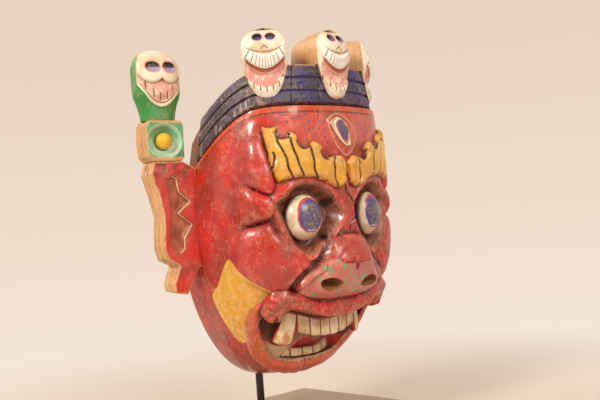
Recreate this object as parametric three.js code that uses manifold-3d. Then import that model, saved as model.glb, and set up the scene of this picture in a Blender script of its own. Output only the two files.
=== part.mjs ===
// A painted wooden mask of a wrathful guardian, held up by a bent steel rod on a display base.
// Millimetres, +Z up. The origin is the centre of the base's underside. The face looks along -Y.
import * as THREE from 'three';
import { mergeVertices } from 'three/addons/utils/BufferGeometryUtils.js';
import Module from 'manifold-3d';

const wasm = await Module();
wasm.setup();

// Fits
const clearance = 0.3;
const seatClearance = 0.5;
const cutOverrun = 8;

// Display stand
const baseWidth = 240;
const baseDepth = 200;
const baseThickness = 20;
const baseEdgeBevel = 3;
const rodDiameter = 8.5;
const rodBendRadius = 16;
const rodSetback = 12;
const chinGap = 44;
const backOverhang = 62;
const footNutWidth = 16;
const footNutHeight = 6;
const footWasherDiameter = 24;
const footWasherThickness = 2;
const footRecessDiameter = 32;
const footRecessDepth = 10;
const crownPlateDiameter = 26;
const crownPlateThickness = 3;
const crownPadDiameter = 30;
const crownPadThickness = 5;
const crownPadReach = 74;
const rodTipRise = 14;
const chinCollarDiameter = 18;
const chinCollarHeight = 12;
const chinCollarRise = 1;
const chinPadWidth = 14;

// Face block
const headHalfWidth = 118;
const headDepth = 133;
const chinDrop = 166;
const crownRise = 146;
const widestRise = 10;
const faceWall = 24;
const sideWall = 16;
const crownWall = 20;
const chinWall = 14;
const arcRadius = 120;
const socketDepth = 14;
const browHeight = 6;
const noseHeight = 17;
const cheekHeight = 9;
const lipHeight = 9;
const lobeHeight = 7;
const browEdge = 6;
const noseEdge = 10;
const cheekEdge = 14;
const socketEdge = 10;
const lipHalfWidth = 10;
const nostrilWidth = 20;
const nostrilHeight = 11;

// Crown band
const bandHeight = 38;
const bandThickness = 8;
const bandSink = 3;
const bandTopProud = 3;
const bandRibHeight = 2.5;
const bandEndDepth = 29;
const bandBendDepth = 102;
const bandBendSoftness = 12;

// Set-in pieces of the face
const eyeDiameter = 41;
const eyeHeight = 46;
const eyeProud = 2;
const eyeSeatDepth = 18;
const eyeRimLift = 1;
const toothLength = 19;
const fangLength = 27;
const toothThickness = 8;
const teethInset = 8;
const lowerToothLength = 11;
const tongueWidth = 44;
const tongueThickness = 9;
const tongueLength = 18;
const tongueRoot = 40;

// Skulls
const crownSkullHeight = 70;
const crownSkullWidth = 46;
const crownSkullFront = 9;
const crownSkullLength = 60;
const crownSkullDrop = 31;
const earSkullHeight = 70;
const earSkullWidth = 50;
const earSkullThickness = 28;
const pegDiameter = 8;
const pegLength = 30;

// Ears and rosette blocks
const earHeight = 131;
const earTopRise = 64;
const earWidth = 49;
const earThickness = 24;
const earSeatInset = 12.5;
const earSeatHeight = 98;
const earMiddleDepth = 22.5;
const earRecessDepth = 4;
const earDowelLength = 22;
const rosetteHeight = 40;
const rosetteWidth = 42;
const rosetteInset = 10;
const rosetteDishDiameter = 36;
const rosetteDishDepth = 5;
const bossDiameter = 16;
const bossHeight = 8;
const bossSide = 2.8;
const longPegLength = 96;

// Shapes, as pure numbers and degrees
const crownSkullAngle = 42;
const earAngle = -10;
const noseFootShare = 0.2;
const noseRoundness = 2.4;
const cheekFadeShares = { start: 0.88, end: 1.1 };
const socketSlopeShares = { start: 1.1, end: 1.6 };
const socketFloorShare = 0.4;
const planPower = 2.8;
const chinPower = 2.1;
const bandSlopeLowShare = 0.7;
const bandSlopeTopShare = 0.6;
const backNarrowShare = 0.08;
const templeLeanShare = 0.16;
const browLeanShare = 0.02;

const radians = THREE.MathUtils.degToRad;
const clamp = THREE.MathUtils.clamp;
const maskBack = baseDepth / 2 - backOverhang;
const horizon = baseThickness + chinGap + chinDrop;
const bandRise = crownRise - bandHeight;
const earSeat = headHalfWidth - earSeatInset;

// Straight-line reading of a table of [place, value] pairs
function readTable(table, place) {
  if (place <= table[0][0]) return table[0][1];
  for (let i = 1; i < table.length; i += 1) {
    const [a, low] = table[i - 1];
    const [b, high] = table[i];
    if (place <= b) return low + (high - low) * (place - a) / (b - a);
  }
  return table[table.length - 1][1];
}

function ease(value, from, to) {
  return THREE.MathUtils.smoothstep((value - from) / (to - from), 0, 1);
}

// Stacked rings of points become one closed solid; an end ring is a pole or gets a flat cap
function ringSolid(rings) {
  const count = rings[0].length;
  const positions = rings.flat().flatMap((p) => [p.x, p.y, p.z]);
  const faces = [];
  for (let row = 0; row + 1 < rings.length; row += 1) {
    for (let i = 0; i < count; i += 1) {
      const j = (i + 1) % count;
      const [a, b] = [row * count + i, row * count + j];
      const [c, d] = [a + count, b + count];
      faces.push([a, b, d], [a, d, c]);
    }
  }
  const last = (rings.length - 1) * count;
  for (let i = 1; i + 1 < count; i += 1) {
    faces.push([0, i + 1, i], [last, last + i, last + i + 1]);
  }
  const geometry = new THREE.BufferGeometry();
  geometry.setAttribute('position', new THREE.Float32BufferAttribute(positions, 3));
  geometry.setIndex(faces.flat());
  return facingOut(welded(geometry));
}

// Turns the faces over where the rings ran the other way round
function facingOut(geometry) {
  const place = geometry.attributes.position;
  const index = Array.from(geometry.index.array);
  const corner = (i) => new THREE.Vector3().fromBufferAttribute(place, index[i]);
  let volume = 0;
  for (let i = 0; i < index.length; i += 3) volume += corner(i).dot(corner(i + 1).cross(corner(i + 2)));
  if (volume < 0) geometry.setIndex(index.reverse());
  return geometry;
}

// Merges shared corners and drops the faces that fold to nothing
function welded(source) {
  const bare = source.clone();
  bare.deleteAttribute('normal');
  bare.deleteAttribute('uv');
  const geometry = mergeVertices(bare, weldDistance);
  const index = geometry.index.array;
  const kept = [];
  for (let i = 0; i < index.length; i += 3) {
    const [a, b, c] = [index[i], index[i + 1], index[i + 2]];
    if (a !== b && b !== c && a !== c) kept.push(a, b, c);
  }
  geometry.setIndex(kept);
  return geometry;
}
const weldDistance = clearance / 100;

function solidOf(geometry) {
  const merged = welded(geometry);
  const solid = new wasm.Manifold(new wasm.Mesh({
    numProp: 3,
    vertProperties: Float32Array.from(merged.attributes.position.array),
    triVerts: Uint32Array.from(merged.index.array),
  }));
  return solid;
}

function geometryOf(solid) {
  const mesh = solid.getMesh();
  const geometry = new THREE.BufferGeometry();
  const count = mesh.vertProperties.length / mesh.numProp;
  const positions = new Float32Array(count * 3);
  for (let i = 0; i < count; i += 1) {
    for (let k = 0; k < 3; k += 1) positions[3 * i + k] = mesh.vertProperties[mesh.numProp * i + k];
  }
  geometry.setAttribute('position', new THREE.BufferAttribute(positions, 3));
  geometry.setIndex(Array.from(mesh.triVerts));
  return geometry;
}

function cut(geometry, ...cutters) {
  return geometryOf(cutters.reduce((solid, cutter) => solid.subtract(solidOf(cutter)), solidOf(geometry)));
}

function mirrored(geometry) {
  const copy = geometry.clone().scale(-1, 1, 1);
  const index = copy.index ? Array.from(copy.index.array) : null;
  for (let i = 0; i < index.length; i += 3) {
    [index[i], index[i + 1]] = [index[i + 1], index[i]];
  }
  copy.setIndex(index);
  return copy;
}

// A round bar along +Z from the origin
function bar(diameter, length, sides = 16) {
  return new THREE.CylinderGeometry(diameter / 2, diameter / 2, length, sides)
    .rotateX(Math.PI / 2)
    .translate(0, 0, length / 2);
}

// Moves a shape modelled along +Z so that +Z points along a direction, from a place
function aimed(geometry, from, direction) {
  const turn = new THREE.Quaternion().setFromUnitVectors(
    new THREE.Vector3(0, 0, 1),
    direction.clone().normalize(),
  );
  return geometry.clone().applyQuaternion(turn).translate(from.x, from.y, from.z);
}

// Head surface. Bearing is the angle round the head from the nose line, positive to +X.
// Pitch is the angle up the profile from the widest level, from the chin to the crown's edge.
function polarRadius(angle, power) {
  return (Math.abs(Math.cos(angle)) ** power + Math.abs(Math.sin(angle)) ** power) ** (-1 / power);
}

const faceSizes = {
  halfWidth: headHalfWidth, depth: headDepth, top: crownRise, bottom: chinDrop,
};
const hollowSizes = {
  halfWidth: headHalfWidth - sideWall,
  depth: headDepth - faceWall,
  top: crownRise - crownWall,
  bottom: chinDrop - chinWall,
};

function grownSizes(growth, topGrowth = 0) {
  return {
    halfWidth: headHalfWidth + growth,
    depth: headDepth + growth,
    top: crownRise + topGrowth,
    bottom: chinDrop + growth,
  };
}

// The crown's edge falls away behind the temples
function templeFall(widthPart, depth, rise) {
  const short = bandBendDepth - depth;
  const behind = (short + Math.hypot(short, bandBendSoftness)) / 2;
  const side = widthPart ** 2;
  const slope = rise <= bandRise
    ? bandSlopeLowShare * ease(rise, widestRise, bandRise)
    : bandSlopeLowShare + (bandSlopeTopShare - bandSlopeLowShare) * (rise - bandRise) / bandHeight;
  return behind * side * slope;
}

// Level runs from -1 at the chin over 0 at the widest place to 1 at the crown's edge
function headPoint(bearing, level, sizes, spread = 1) {
  const low = level < 0;
  const reach = low ? sizes.bottom + widestRise : sizes.top - widestRise;
  const pitch = level * Math.PI / 2;
  const round = low ? polarRadius(pitch, chinPower) : 1;
  const climb = low ? round * Math.sin(pitch) : level;
  const rise = widestRise + reach * climb;
  const widthShare = low ? round * Math.cos(pitch) : 1 - templeLeanShare * level ** 3;
  const depthShare = low ? round * Math.cos(pitch) : 1 - browLeanShare * level ** 3;
  const plan = polarRadius(bearing, planPower);
  const acrossPart = plan * Math.sin(bearing);
  const forwardPart = plan * Math.cos(bearing);
  const narrow = 1 - backNarrowShare * (1 - forwardPart) ** 2;
  const x = sizes.halfWidth * widthShare * acrossPart * narrow * spread;
  const depth = sizes.depth * depthShare * forwardPart * spread;
  return new THREE.Vector3(x, -depth, rise - templeFall(acrossPart * spread, depth, rise));
}

const levelOf = (rise) => (rise - widestRise) / (crownRise - widestRise);

function headNormal(bearing, level) {
  const step = 0.01;
  const across = headPoint(bearing + step, level, faceSizes)
    .sub(headPoint(bearing - step, level, faceSizes));
  const along = headPoint(bearing, Math.min(1, level + step), faceSizes)
    .sub(headPoint(bearing, Math.max(-1, level - step), faceSizes));
  const normal = across.cross(along);
  return normal.length() > 0 ? normal.normalize() : new THREE.Vector3(0, 0, Math.sign(level));
}

// Relief of the face. Places are [across, rise] as shares of the half width and the chin drop,
// measured along the curve of the head from the nose line and up from the horizon.
const browShares = [
  [0.75, 0.554], [0.64, 0.512], [0.54, 0.488], [0.44, 0.452], [0.36, 0.416], [0.25, 0.422],
  [0.19, 0.361], [0.12, 0.361], [0.03, 0.337], [0.02, 0.265], [0.06, 0.199], [0.14, 0.169],
  [0.26, 0.205], [0.4, 0.235], [0.53, 0.241], [0.64, 0.217], [0.68, 0.283], [0.72, 0.416],
];
const socketShares = [
  [0.68, 0.084], [0.53, 0.187], [0.33, 0.199], [0.15, 0.114], [0.08, 0], [0.17, -0.096],
  [0.32, -0.199], [0.45, -0.211], [0.56, -0.145], [0.64, -0.024],
];
const noseShares = [
  [-0.08, -0.114], [-0.3, -0.205], [-0.5, -0.343], [-0.55, -0.404], [-0.51, -0.458], [-0.34, -0.494],
  [0, -0.512], [0.34, -0.494], [0.51, -0.458], [0.55, -0.404], [0.5, -0.343], [0.3, -0.205],
  [0.08, -0.114],
];
const upperLipShares = [
  [0, -0.554], [0.26, -0.542], [0.46, -0.5], [0.57, -0.47], [0.68, -0.494], [0.82, -0.524],
  [0.92, -0.584],
];
const lowerLipShares = [
  [0, -0.916], [0.34, -0.916], [0.71, -0.886], [0.86, -0.813], [0.92, -0.729], [0.94, -0.651],
  [0.92, -0.584],
];
const cheekShares = [
  [1.05, -0.127], [0.93, -0.048], [0.73, -0.018], [0.58, -0.163], [0.38, -0.265], [0.3, -0.253],
  [0.31, -0.295], [0.41, -0.343], [0.51, -0.404], [0.75, -0.422], [0.88, -0.367], [1.05, -0.223],
];
const sideLobeShares = [
  [0.71, 0.127], [0.71, 0.012], [0.87, -0.024], [1.04, 0.048], [0.91, 0.199], [0.76, 0.151],
];
const templeLobeShares = [
  [0.91, 0.241], [0.71, 0.145], [0.68, 0.265], [0.73, 0.398], [0.81, 0.53], [1.02, 0.458],
  [1.01, 0.337],
];
// Height of the nose over its outline, and its half width, by rise
const noseProfileShares = [[-0.51, 0.2], [-0.36, 0.95], [-0.27, 1], [-0.1, 0.35]];
const noseWidthShares = [[-0.5, 0.44], [-0.36, 0.44], [-0.24, 0.3], [-0.11, 0.17]];
const bridgeShares = { height: 0.24, width: 0.08, from: -0.14, to: 0.26 };
const foreheadShares = { height: 0.67, width: 0.22, rise: 0.49, tall: 0.18 };

function placed(shares) {
  return shares.map(([across, rise]) => new THREE.Vector2(across * headHalfWidth, rise * chinDrop));
}

function awayFromPath(spot, path) {
  const gaps = path.slice(1).map((end, i) => {
    const run = end.clone().sub(path[i]);
    const here = spot.clone().sub(path[i]);
    return here.sub(run.multiplyScalar(clamp(here.dot(run) / run.lengthSq(), 0, 1))).length();
  });
  return Math.min(...gaps);
}

// Distance inside an outline, below zero outside it
function depthInside(spot, shares) {
  const corners = placed(shares);
  const path = [...corners, corners[0]];
  const crossings = path.slice(1).filter((end, i) => {
    const start = path[i];
    const level = (spot.y - start.y) / (end.y - start.y);
    return (start.y > spot.y) !== (end.y > spot.y) && spot.x < start.x + (end.x - start.x) * level;
  });
  return (crossings.length % 2 === 1 ? 1 : -1) * awayFromPath(spot, path);
}

function swelling(share, centre, width) {
  return Math.exp(-(((share - centre) / width) ** 2));
}

function noseRelief(spot, signedAcross) {
  const rise = spot.y / chinDrop;
  const over = Math.min(1, spot.x / headHalfWidth / readTable(noseWidthShares, rise));
  const depth = depthInside(new THREE.Vector2(signedAcross, spot.y), noseShares);
  const inside = ease(depth, -noseEdge / 3, noseEdge);
  const ridge = readTable(noseProfileShares, rise) * (1 - over ** noseRoundness);
  return noseHeight * inside * (noseFootShare + ridge);
}

function browRelief(spot) {
  const across = spot.x / headHalfWidth;
  const rise = spot.y / chinDrop;
  const brow = ease(depthInside(spot, browShares), -browEdge / 2, browEdge);
  const bridge = swelling(across, 0, bridgeShares.width)
    * ease(rise, bridgeShares.from, 0) * ease(rise, bridgeShares.to, bridgeShares.to / 2);
  const tall = swelling(rise, foreheadShares.rise, foreheadShares.tall);
  const forehead = swelling(across, 0, foreheadShares.width) * tall;
  return browHeight * (brow + foreheadShares.height * forehead) + noseHeight * bridgeShares.height * bridge;
}

function cheekRelief(spot) {
  const fade = ease(spot.x / headHalfWidth, cheekFadeShares.end, cheekFadeShares.start);
  const cheek = cheekHeight * ease(depthInside(spot, cheekShares), -cheekEdge / 3, cheekEdge);
  const lobes = [sideLobeShares, templeLobeShares].map((shares) => depthInside(spot, shares));
  return fade * Math.max(cheek, lobeHeight * ease(Math.max(...lobes), -cheekEdge / 3, cheekEdge));
}

// The socket sinks steeply round the eye, and less deeply at its corners
function socketDip(spot) {
  const inside = depthInside(spot, socketShares);
  const away = Math.hypot(2 * (spot.x - eyeAcross) / eyeDiameter, 2 * spot.y / eyeHeight);
  const steep = ease(away, socketSlopeShares.end, socketSlopeShares.start);
  const near = socketFloorShare + (1 - socketFloorShare) * steep;
  return -socketDepth * near * ease(inside, -socketEdge / 4, socketEdge);
}
const eyeAcrossShare = 0.42;
const eyeAcross = eyeAcrossShare * headHalfWidth;

// Height of the carved face above the plain head, at a place along its curve
function relief(signedAcross, rise) {
  const spot = new THREE.Vector2(Math.abs(signedAcross), rise);
  const lips = [upperLipShares, lowerLipShares].map((path) => awayFromPath(spot, placed(path)));
  const lipAway = Math.min(...lips);
  const lip = Math.sqrt(1 - Math.min(1, lipAway / lipHalfWidth) ** 2);
  const open = browRelief(spot) + cheekRelief(spot) + socketDip(spot);
  const raised = Math.max(open, 0) * (1 - lip) + lipHeight * lip;
  return noseRelief(spot, signedAcross) + raised + Math.min(open, 0);
}

// Bearings close up towards the front, where the carving is
const evenBearingShare = 0.72;
function bearings(count) {
  return Array.from({ length: count }, (_, i) => {
    const part = -1 + 2 * i / (count - 1);
    return radians(90) * (evenBearingShare * part + (1 - evenBearingShare) * part ** 3);
  });
}

// The relief starts from nothing at the back
const fadeShare = 0.2;
function carvedPoint(bearing, level) {
  const point = headPoint(bearing, level, faceSizes);
  const fade = ease(-point.y, 0, headDepth * fadeShare);
  const height = relief(bearing * arcRadius, point.z) * fade;
  return point.addScaledVector(headNormal(bearing, level), height);
}

const headColumns = 45;
const bandRows = 2;
const crownSpreadShares = [1, 0.8, 0.45, 0];
function headOutside() {
  const columns = bearings(headColumns);
  const ledge = levelOf(bandRise);
  const rings = [];
  const lowRows = 29;
  for (let i = 0; i <= lowRows; i += 1) {
    rings.push(columns.map((bearing) => carvedPoint(bearing, -1 + i / lowRows)));
  }
  const highRows = 11;
  for (let i = 1; i <= highRows; i += 1) {
    rings.push(columns.map((bearing) => carvedPoint(bearing, ledge * i / highRows)));
  }
  const behindBand = grownSizes(-bandSink - bandThickness);
  for (let i = 0; i < bandRows; i += 1) {
    const level = ledge + (1 - ledge) * i / bandRows;
    rings.push(columns.map((bearing) => headPoint(bearing, level, behindBand)));
  }
  for (const spread of crownSpreadShares) {
    rings.push(columns.map((bearing) => headPoint(bearing, 1, behindBand, spread)));
  }
  return cut(ringSolid(rings.map(runPastBack)), backCutter());
}

// Carries a ring on past the back plane, where the back is then sawn flat
function runPastBack(points) {
  const behind = (point) => new THREE.Vector3(point.x, cutOverrun, point.z);
  return [behind(points[0]), ...points, behind(points.at(-1))];
}

function backCutter() {
  const tall = 2 * (crownRise + chinDrop);
  return new THREE.BoxGeometry(4 * headHalfWidth, 2 * cutOverrun, tall).translate(0, cutOverrun, 0);
}

// The space behind the face, open over the whole back
function headHollow() {
  const columns = bearings(21);
  const levelShares = [-1, -0.92, -0.8, -0.66, -0.52, -0.38, -0.24, -0.1, 0.05, 0.3, 0.6, 0.85, 1];
  const roofShares = [0.6, 0];
  const ring = (level, spread) => columns.map((bearing) => headPoint(bearing, level, hollowSizes, spread));
  const walls = levelShares.map((level) => ring(level, 1));
  const rings = [...walls, ...roofShares.map((spread) => ring(1, spread))];
  return ringSolid(rings.map(runPastBack));
}

// Mouth opening, seen from the front, as shares of the half width and the chin drop
const mouthTopShares = [
  [-0.67, -0.6], [-0.655, -0.555], [-0.6, -0.6], [-0.545, -0.6], [-0.51, -0.545], [-0.46, -0.53],
  [-0.34, -0.56], [-0.17, -0.595], [0, -0.605], [0.17, -0.595], [0.34, -0.56],
  [0.46, -0.53], [0.51, -0.545], [0.545, -0.6], [0.6, -0.6], [0.655, -0.555], [0.67, -0.6],
];
const mouthFootShares = [
  [-0.67, -0.61], [-0.575, -0.71], [-0.47, -0.795], [-0.36, -0.84], [-0.14, -0.865],
  [0.14, -0.865], [0.36, -0.84], [0.47, -0.795], [0.575, -0.71], [0.67, -0.61],
];
// The corners of the mouth draw in towards the throat, as the sides of the cut converge
const cornerDrawShare = 0.5;
const mouthCornerShare = mouthTopShares.at(-1)[0];
const throatDepthShare = 0.6;
const throatDepth = headDepth * throatDepthShare;
const mouthBackShare = 0.17;
function drawnIn(across, depth) {
  const back = Math.max(0, 1 - depth / throatDepth);
  return across * (1 - cornerDrawShare * back * (across / mouthCornerShare) ** 2);
}

function mouthEdge(tableShares, x, depth) {
  const wanted = x / headHalfWidth;
  let across = wanted;
  for (let i = 0; i < 4; i += 1) across += wanted - drawnIn(across, depth);
  return readTable(tableShares, across) * chinDrop;
}

function mouthCutter() {
  const outline = [...mouthFootShares, ...mouthTopShares.toReversed()];
  const depths = [headDepth * mouthBackShare, throatDepth, headDepth + noseHeight + cutOverrun];
  return ringSolid(depths.map((depth) => outline.map(([across, rise]) => (
    new THREE.Vector3(drawnIn(across, depth) * headHalfWidth, -depth, rise * chinDrop)
  ))));
}

// Each nostril runs up and back through the underside of the nose
const nostrilAcrossShare = 0.2;
const nostrilRiseShare = -0.4;
const nostrilDepthShare = 0.9;
const nostrilAngle = 25;
function nostrilCutter(side) {
  const long = faceWall + noseHeight + 3 * cutOverrun;
  return bar(nostrilHeight, long, 12)
    .scale(nostrilWidth / nostrilHeight, 1, 1)
    .translate(0, 0, -long / 2)
    .rotateX(Math.PI / 2 - radians(nostrilAngle))
    .translate(
      side * nostrilAcrossShare * headHalfWidth,
      -headDepth * nostrilDepthShare,
      nostrilRiseShare * chinDrop,
    );
}

// Eyes, domes on round plugs, sunk square to the head's surface
function eyeFrame(side) {
  const bearing = side * eyeAcross / arcRadius;
  const level = -widestRise / (chinDrop + widestRise) * 2 / Math.PI;
  return { place: headPoint(bearing, level, faceSizes), direction: headNormal(bearing, level) };
}

function eyeShape(growth, seat) {
  const radius = eyeDiameter / 2 + growth;
  const domeHeight = eyeProud + socketDepth - eyeRimLift;
  const domeFoot = eyeProud - domeHeight;
  const profile = [new THREE.Vector2(0, -seat), new THREE.Vector2(radius, -seat)];
  const steps = 5;
  for (let i = 0; i <= steps; i += 1) {
    const turn = i / steps * Math.PI / 2;
    const across = i === steps ? 0 : radius * Math.cos(turn);
    profile.push(new THREE.Vector2(across, domeFoot + domeHeight * Math.sin(turn)));
  }
  return new THREE.LatheGeometry(profile, 16).rotateX(Math.PI / 2);
}

function eyeball(side) {
  const { place, direction } = eyeFrame(side);
  const shape = eyeShape(0, eyeSeatDepth - clearance).scale(1, eyeHeight / eyeDiameter, 1);
  return welded(aimed(shape, place, direction));
}

function eyePocket(side) {
  const { place, direction } = eyeFrame(side);
  const pocket = bar(eyeDiameter + 2 * clearance, eyeSeatDepth + socketDepth + cutOverrun, 24)
    .scale(1, eyeHeight / eyeDiameter, 1)
    .translate(0, 0, -eyeSeatDepth);
  return aimed(pocket, place, direction);
}

// A row of teeth stands in the mouth behind the lip, following the curve of the jaw
const gapLengthShare = 0.72;
const backLengthShare = 0.92;
const toothRoundPower = 0.6;
const fangPlaceShare = 0.86;
function teethRow(count, halfSpan, inset, thickness, seatAt, lengthAt) {
  const steps = count * 6;
  const outer = grownSizes(-inset);
  const inner = grownSizes(-inset - thickness);
  const rings = [];
  for (let i = 0; i <= steps; i += 1) {
    const part = -1 + 2 * i / steps;
    const bearing = part * halfSpan;
    const [front, back] = [outer, inner].map((sizes) => headPoint(bearing, teethLevel(seatAt), sizes));
    const frontSeat = seatAt(front.x, -front.y);
    const backSeat = seatAt(back.x, -back.y);
    const round = Math.abs(Math.sin((part + 1) * count * Math.PI / 2)) ** toothRoundPower;
    const long = lengthAt(part) * (gapLengthShare + (1 - gapLengthShare) * round);
    rings.push([
      new THREE.Vector3(front.x, front.y, frontSeat),
      new THREE.Vector3(front.x, front.y, frontSeat + long),
      new THREE.Vector3(back.x, back.y, backSeat + long * backLengthShare),
      new THREE.Vector3(back.x, back.y, backSeat),
    ]);
  }
  return rings;
}

// Level of the head's surface at the height where a row of teeth sits
function teethLevel(seatAt) {
  const climb = (widestRise - seatAt(0, headDepth)) / (chinDrop + widestRise);
  const level = Math.atan2(climb, (1 - climb ** chinPower) ** (1 / chinPower));
  return -level * 2 / Math.PI;
}

const upperSpanAngle = 35.5;
const lowerSpanAngle = 39;
function upperTeeth() {
  const seat = (x, depth) => mouthEdge(mouthTopShares, x, depth) - clearance;
  const length = (part) => -(Math.abs(part) > fangPlaceShare ? fangLength : toothLength);
  return ringSolid(teethRow(8, radians(upperSpanAngle), teethInset, toothThickness, seat, length));
}

function lowerTeeth() {
  const seat = (x, depth) => mouthEdge(mouthFootShares, x, depth) + seatClearance;
  const span = radians(lowerSpanAngle);
  return ringSolid(teethRow(8, span, teethInset / 2, toothThickness, seat, () => lowerToothLength));
}

const tongueTaperShare = 0.35;
const tongueArchShare = 0.35;
function tongue() {
  const rings = [];
  const rows = 7;
  for (let i = 0; i <= rows; i += 1) {
    const part = i / rows;
    const depth = tongueRoot + tongueLength * part;
    const half = tongueWidth / 2 * (1 - tongueTaperShare * part ** 3);
    const top = tongueThickness * (1 + tongueArchShare * Math.sin(part * Math.PI));
    const ring = [];
    for (let k = 0; k <= 8; k += 1) {
      const turn = Math.PI * k / 8;
      const x = half * Math.cos(turn);
      const lift = k === 0 || k === 8 ? 0 : top * Math.sin(turn) ** 0.7;
      const floor = mouthEdge(mouthFootShares, x, depth) + clearance;
      ring.push(new THREE.Vector3(x, -depth, floor + lift));
    }
    rings.push(ring);
  }
  return ringSolid(rings);
}

// Crown band: three raised ribs on a strip that lies in the rebate round the crown
const bandProfileShares = [
  [0, 0.3], [0.04, 0.9], [0.17, 1], [0.3, 0.85], [0.33, 0.1], [0.36, 0.85], [0.5, 1], [0.64, 0.85],
  [0.67, 0.1], [0.7, 0.85], [0.95, 0.9], [1, 0.3],
];
function bandEndBearing() {
  return radians(90) - bandEndDepth / headHalfWidth;
}

function crownBand() {
  const ledge = levelOf(bandRise + clearance);
  const end = bandEndBearing();
  const between = bearings(headColumns).filter((bearing) => Math.abs(bearing) < end);
  const columns = [-end, ...between, end];
  const inside = grownSizes(-bandSink - bandThickness + clearance, bandTopProud);
  const rings = columns.map((bearing) => {
    const outer = bandProfileShares.map(([part, height]) => {
      const growth = -bandSink + bandRibHeight * (height - 1);
      return headPoint(bearing, ledge + (1 - ledge) * part, grownSizes(growth, bandTopProud));
    });
    const inner = Array.from({ length: bandRows + 1 }, (_, row) => (
      headPoint(bearing, 1 - (1 - ledge) * row / bandRows, inside)
    ));
    return [...outer, ...inner];
  });
  return ringSolid(rings);
}

// What the crown's pieces are cut back to: the crown with its band, grown by the clearance
function crownEnvelope() {
  const columns = bearings(headColumns);
  const over = grownSizes(-bandSink + seatClearance, bandTopProud + seatClearance);
  const lip = grownSizes(-bandSink - bandThickness, bandTopProud + seatClearance);
  const flat = grownSizes(-bandSink - bandThickness, clearance);
  const ring = (level, sizes, spread) => columns.map((b) => headPoint(b, level, sizes, spread));
  const levelShares = [0, 0.25, 0.45, 0.6, 0.7, 0.76, 0.82, 0.88, 0.94, 1];
  const rings = levelShares.map((level) => ring(level, over, 1));
  rings.push(ring(1, lip, 1), ...crownSpreadShares.map((spread) => ring(1, flat, spread)));
  return ringSolid(rings);
}

// Skulls: rings from the jaw to the top of the head, each [rise, half width, front, back] in shares
const crownSkullShares = [
  [0, 0, 0.3, 0.1], [0.03, 0.36, 0.75, 0.15], [0.1, 0.56, 0.95, 0.2], [0.2, 0.7, 1, 0.3],
  [0.3, 0.8, 0.95, 0.45], [0.4, 0.88, 0.95, 0.7], [0.49, 0.95, 1.05, 0.9], [0.58, 1, 1.15, 1],
  [0.66, 1, 1.12, 1], [0.72, 0.99, 1.05, 0.99], [0.77, 0.97, 0.95, 0.98], [0.82, 0.93, 0.8, 0.95],
  [0.89, 0.8, 0.45, 0.86], [0.96, 0.52, -0.1, 0.6], [1, 0, -1, 0.2],
];
const earSkullShares = [
  [0, 0.7, 0.85, 0.88], [0.1, 0.74, 0.85, 0.9], [0.22, 0.84, 0.85, 0.94], [0.3, 0.93, 0.95, 0.98],
  [0.36, 0.98, 1.08, 1], [0.46, 1, 1.1, 1], [0.56, 1, 1.12, 1], [0.66, 1, 1.1, 1],
  [0.73, 0.99, 1, 0.99], [0.79, 0.95, 0.9, 0.97], [0.85, 0.88, 0.75, 0.9], [0.92, 0.72, 0.5, 0.72],
  [0.97, 0.45, 0.25, 0.4], [1, 0, 0, 0],
];
const skullSocketShares = { across: 0.34, rise: 0.77, halfWidth: 0.26, halfHeight: 0.08, depth: 0.8 };
const grinShares = { rise: 0.34, halfWidth: 0.72, halfHeight: 0.12, depth: 0.8, curl: 0.14 };
const dipFloorShare = 0.5;
const dipSideShares = [0.2, 0.6];
const skullRoundPower = 2.3;
const skullColumns = 18;
const skullFrontCrowding = 0.45;

function skullDip(acrossPart, risePart) {
  const eye = Math.hypot(
    (Math.abs(acrossPart) - skullSocketShares.across) / skullSocketShares.halfWidth,
    (risePart - skullSocketShares.rise) / skullSocketShares.halfHeight,
  );
  const bow = grinShares.rise + grinShares.curl * acrossPart ** 2;
  const grin = Math.hypot(acrossPart / grinShares.halfWidth, (risePart - bow) / grinShares.halfHeight);
  const grinDip = grinShares.depth * ease(grin, 1, dipFloorShare);
  return skullSocketShares.depth * ease(eye, 1, dipFloorShare) + grinDip;
}

function skull(shares, { height, width, front, back }) {
  const rings = shares.map(([rise, half, frontShare, backShare]) => {
    const ring = [];
    for (let i = 0; i < skullColumns; i += 1) {
      const even = 2 * Math.PI * i / skullColumns;
      const turn = even - skullFrontCrowding * Math.sin(even);
      const round = polarRadius(turn, skullRoundPower);
      const acrossPart = round * Math.sin(turn) * half;
      const forward = round * Math.cos(turn);
      const facing = forward > 0 && half > 0;
      const dip = facing ? skullDip(acrossPart, rise) * front * ease(forward, ...dipSideShares) : 0;
      const y = facing ? -front * frontShare * forward + dip : -back * backShare * forward;
      ring.push(new THREE.Vector3(acrossPart * width / 2, half > 0 ? y : 0, rise * height));
    }
    return ring;
  });
  return ringSolid(rings);
}

function crownSkullFrame(turn) {
  const bearing = radians(turn);
  const seat = headPoint(bearing, 1, grownSizes(-bandSink));
  return { bearing, seat };
}

function crownSkull(turn, pegHole) {
  const { bearing, seat } = crownSkullFrame(turn);
  const form = skull(crownSkullShares, {
    height: crownSkullHeight,
    width: crownSkullWidth,
    front: crownSkullFront,
    back: crownSkullLength - crownSkullFront,
  });
  form.rotateZ(bearing).translate(seat.x, seat.y, crownRise - crownSkullDrop);
  return cut(form, crownEnvelope(), pegHole);
}

const pegInwardShare = 0.42;
const pegSunkShare = 0.42;
function crownPegPlace(turn) {
  const { bearing, seat } = crownSkullFrame(turn);
  const inward = crownSkullLength * pegInwardShare;
  const x = seat.x - inward * Math.sin(bearing);
  const y = seat.y + inward * Math.cos(bearing);
  return new THREE.Vector3(x, y, crownRise - pegLength * pegSunkShare);
}

function crownPeg(turn, growth) {
  const place = crownPegPlace(turn);
  return bar(pegDiameter + 2 * growth, pegLength + 2 * growth, 12)
    .translate(place.x, place.y, place.z - growth);
}

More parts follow.
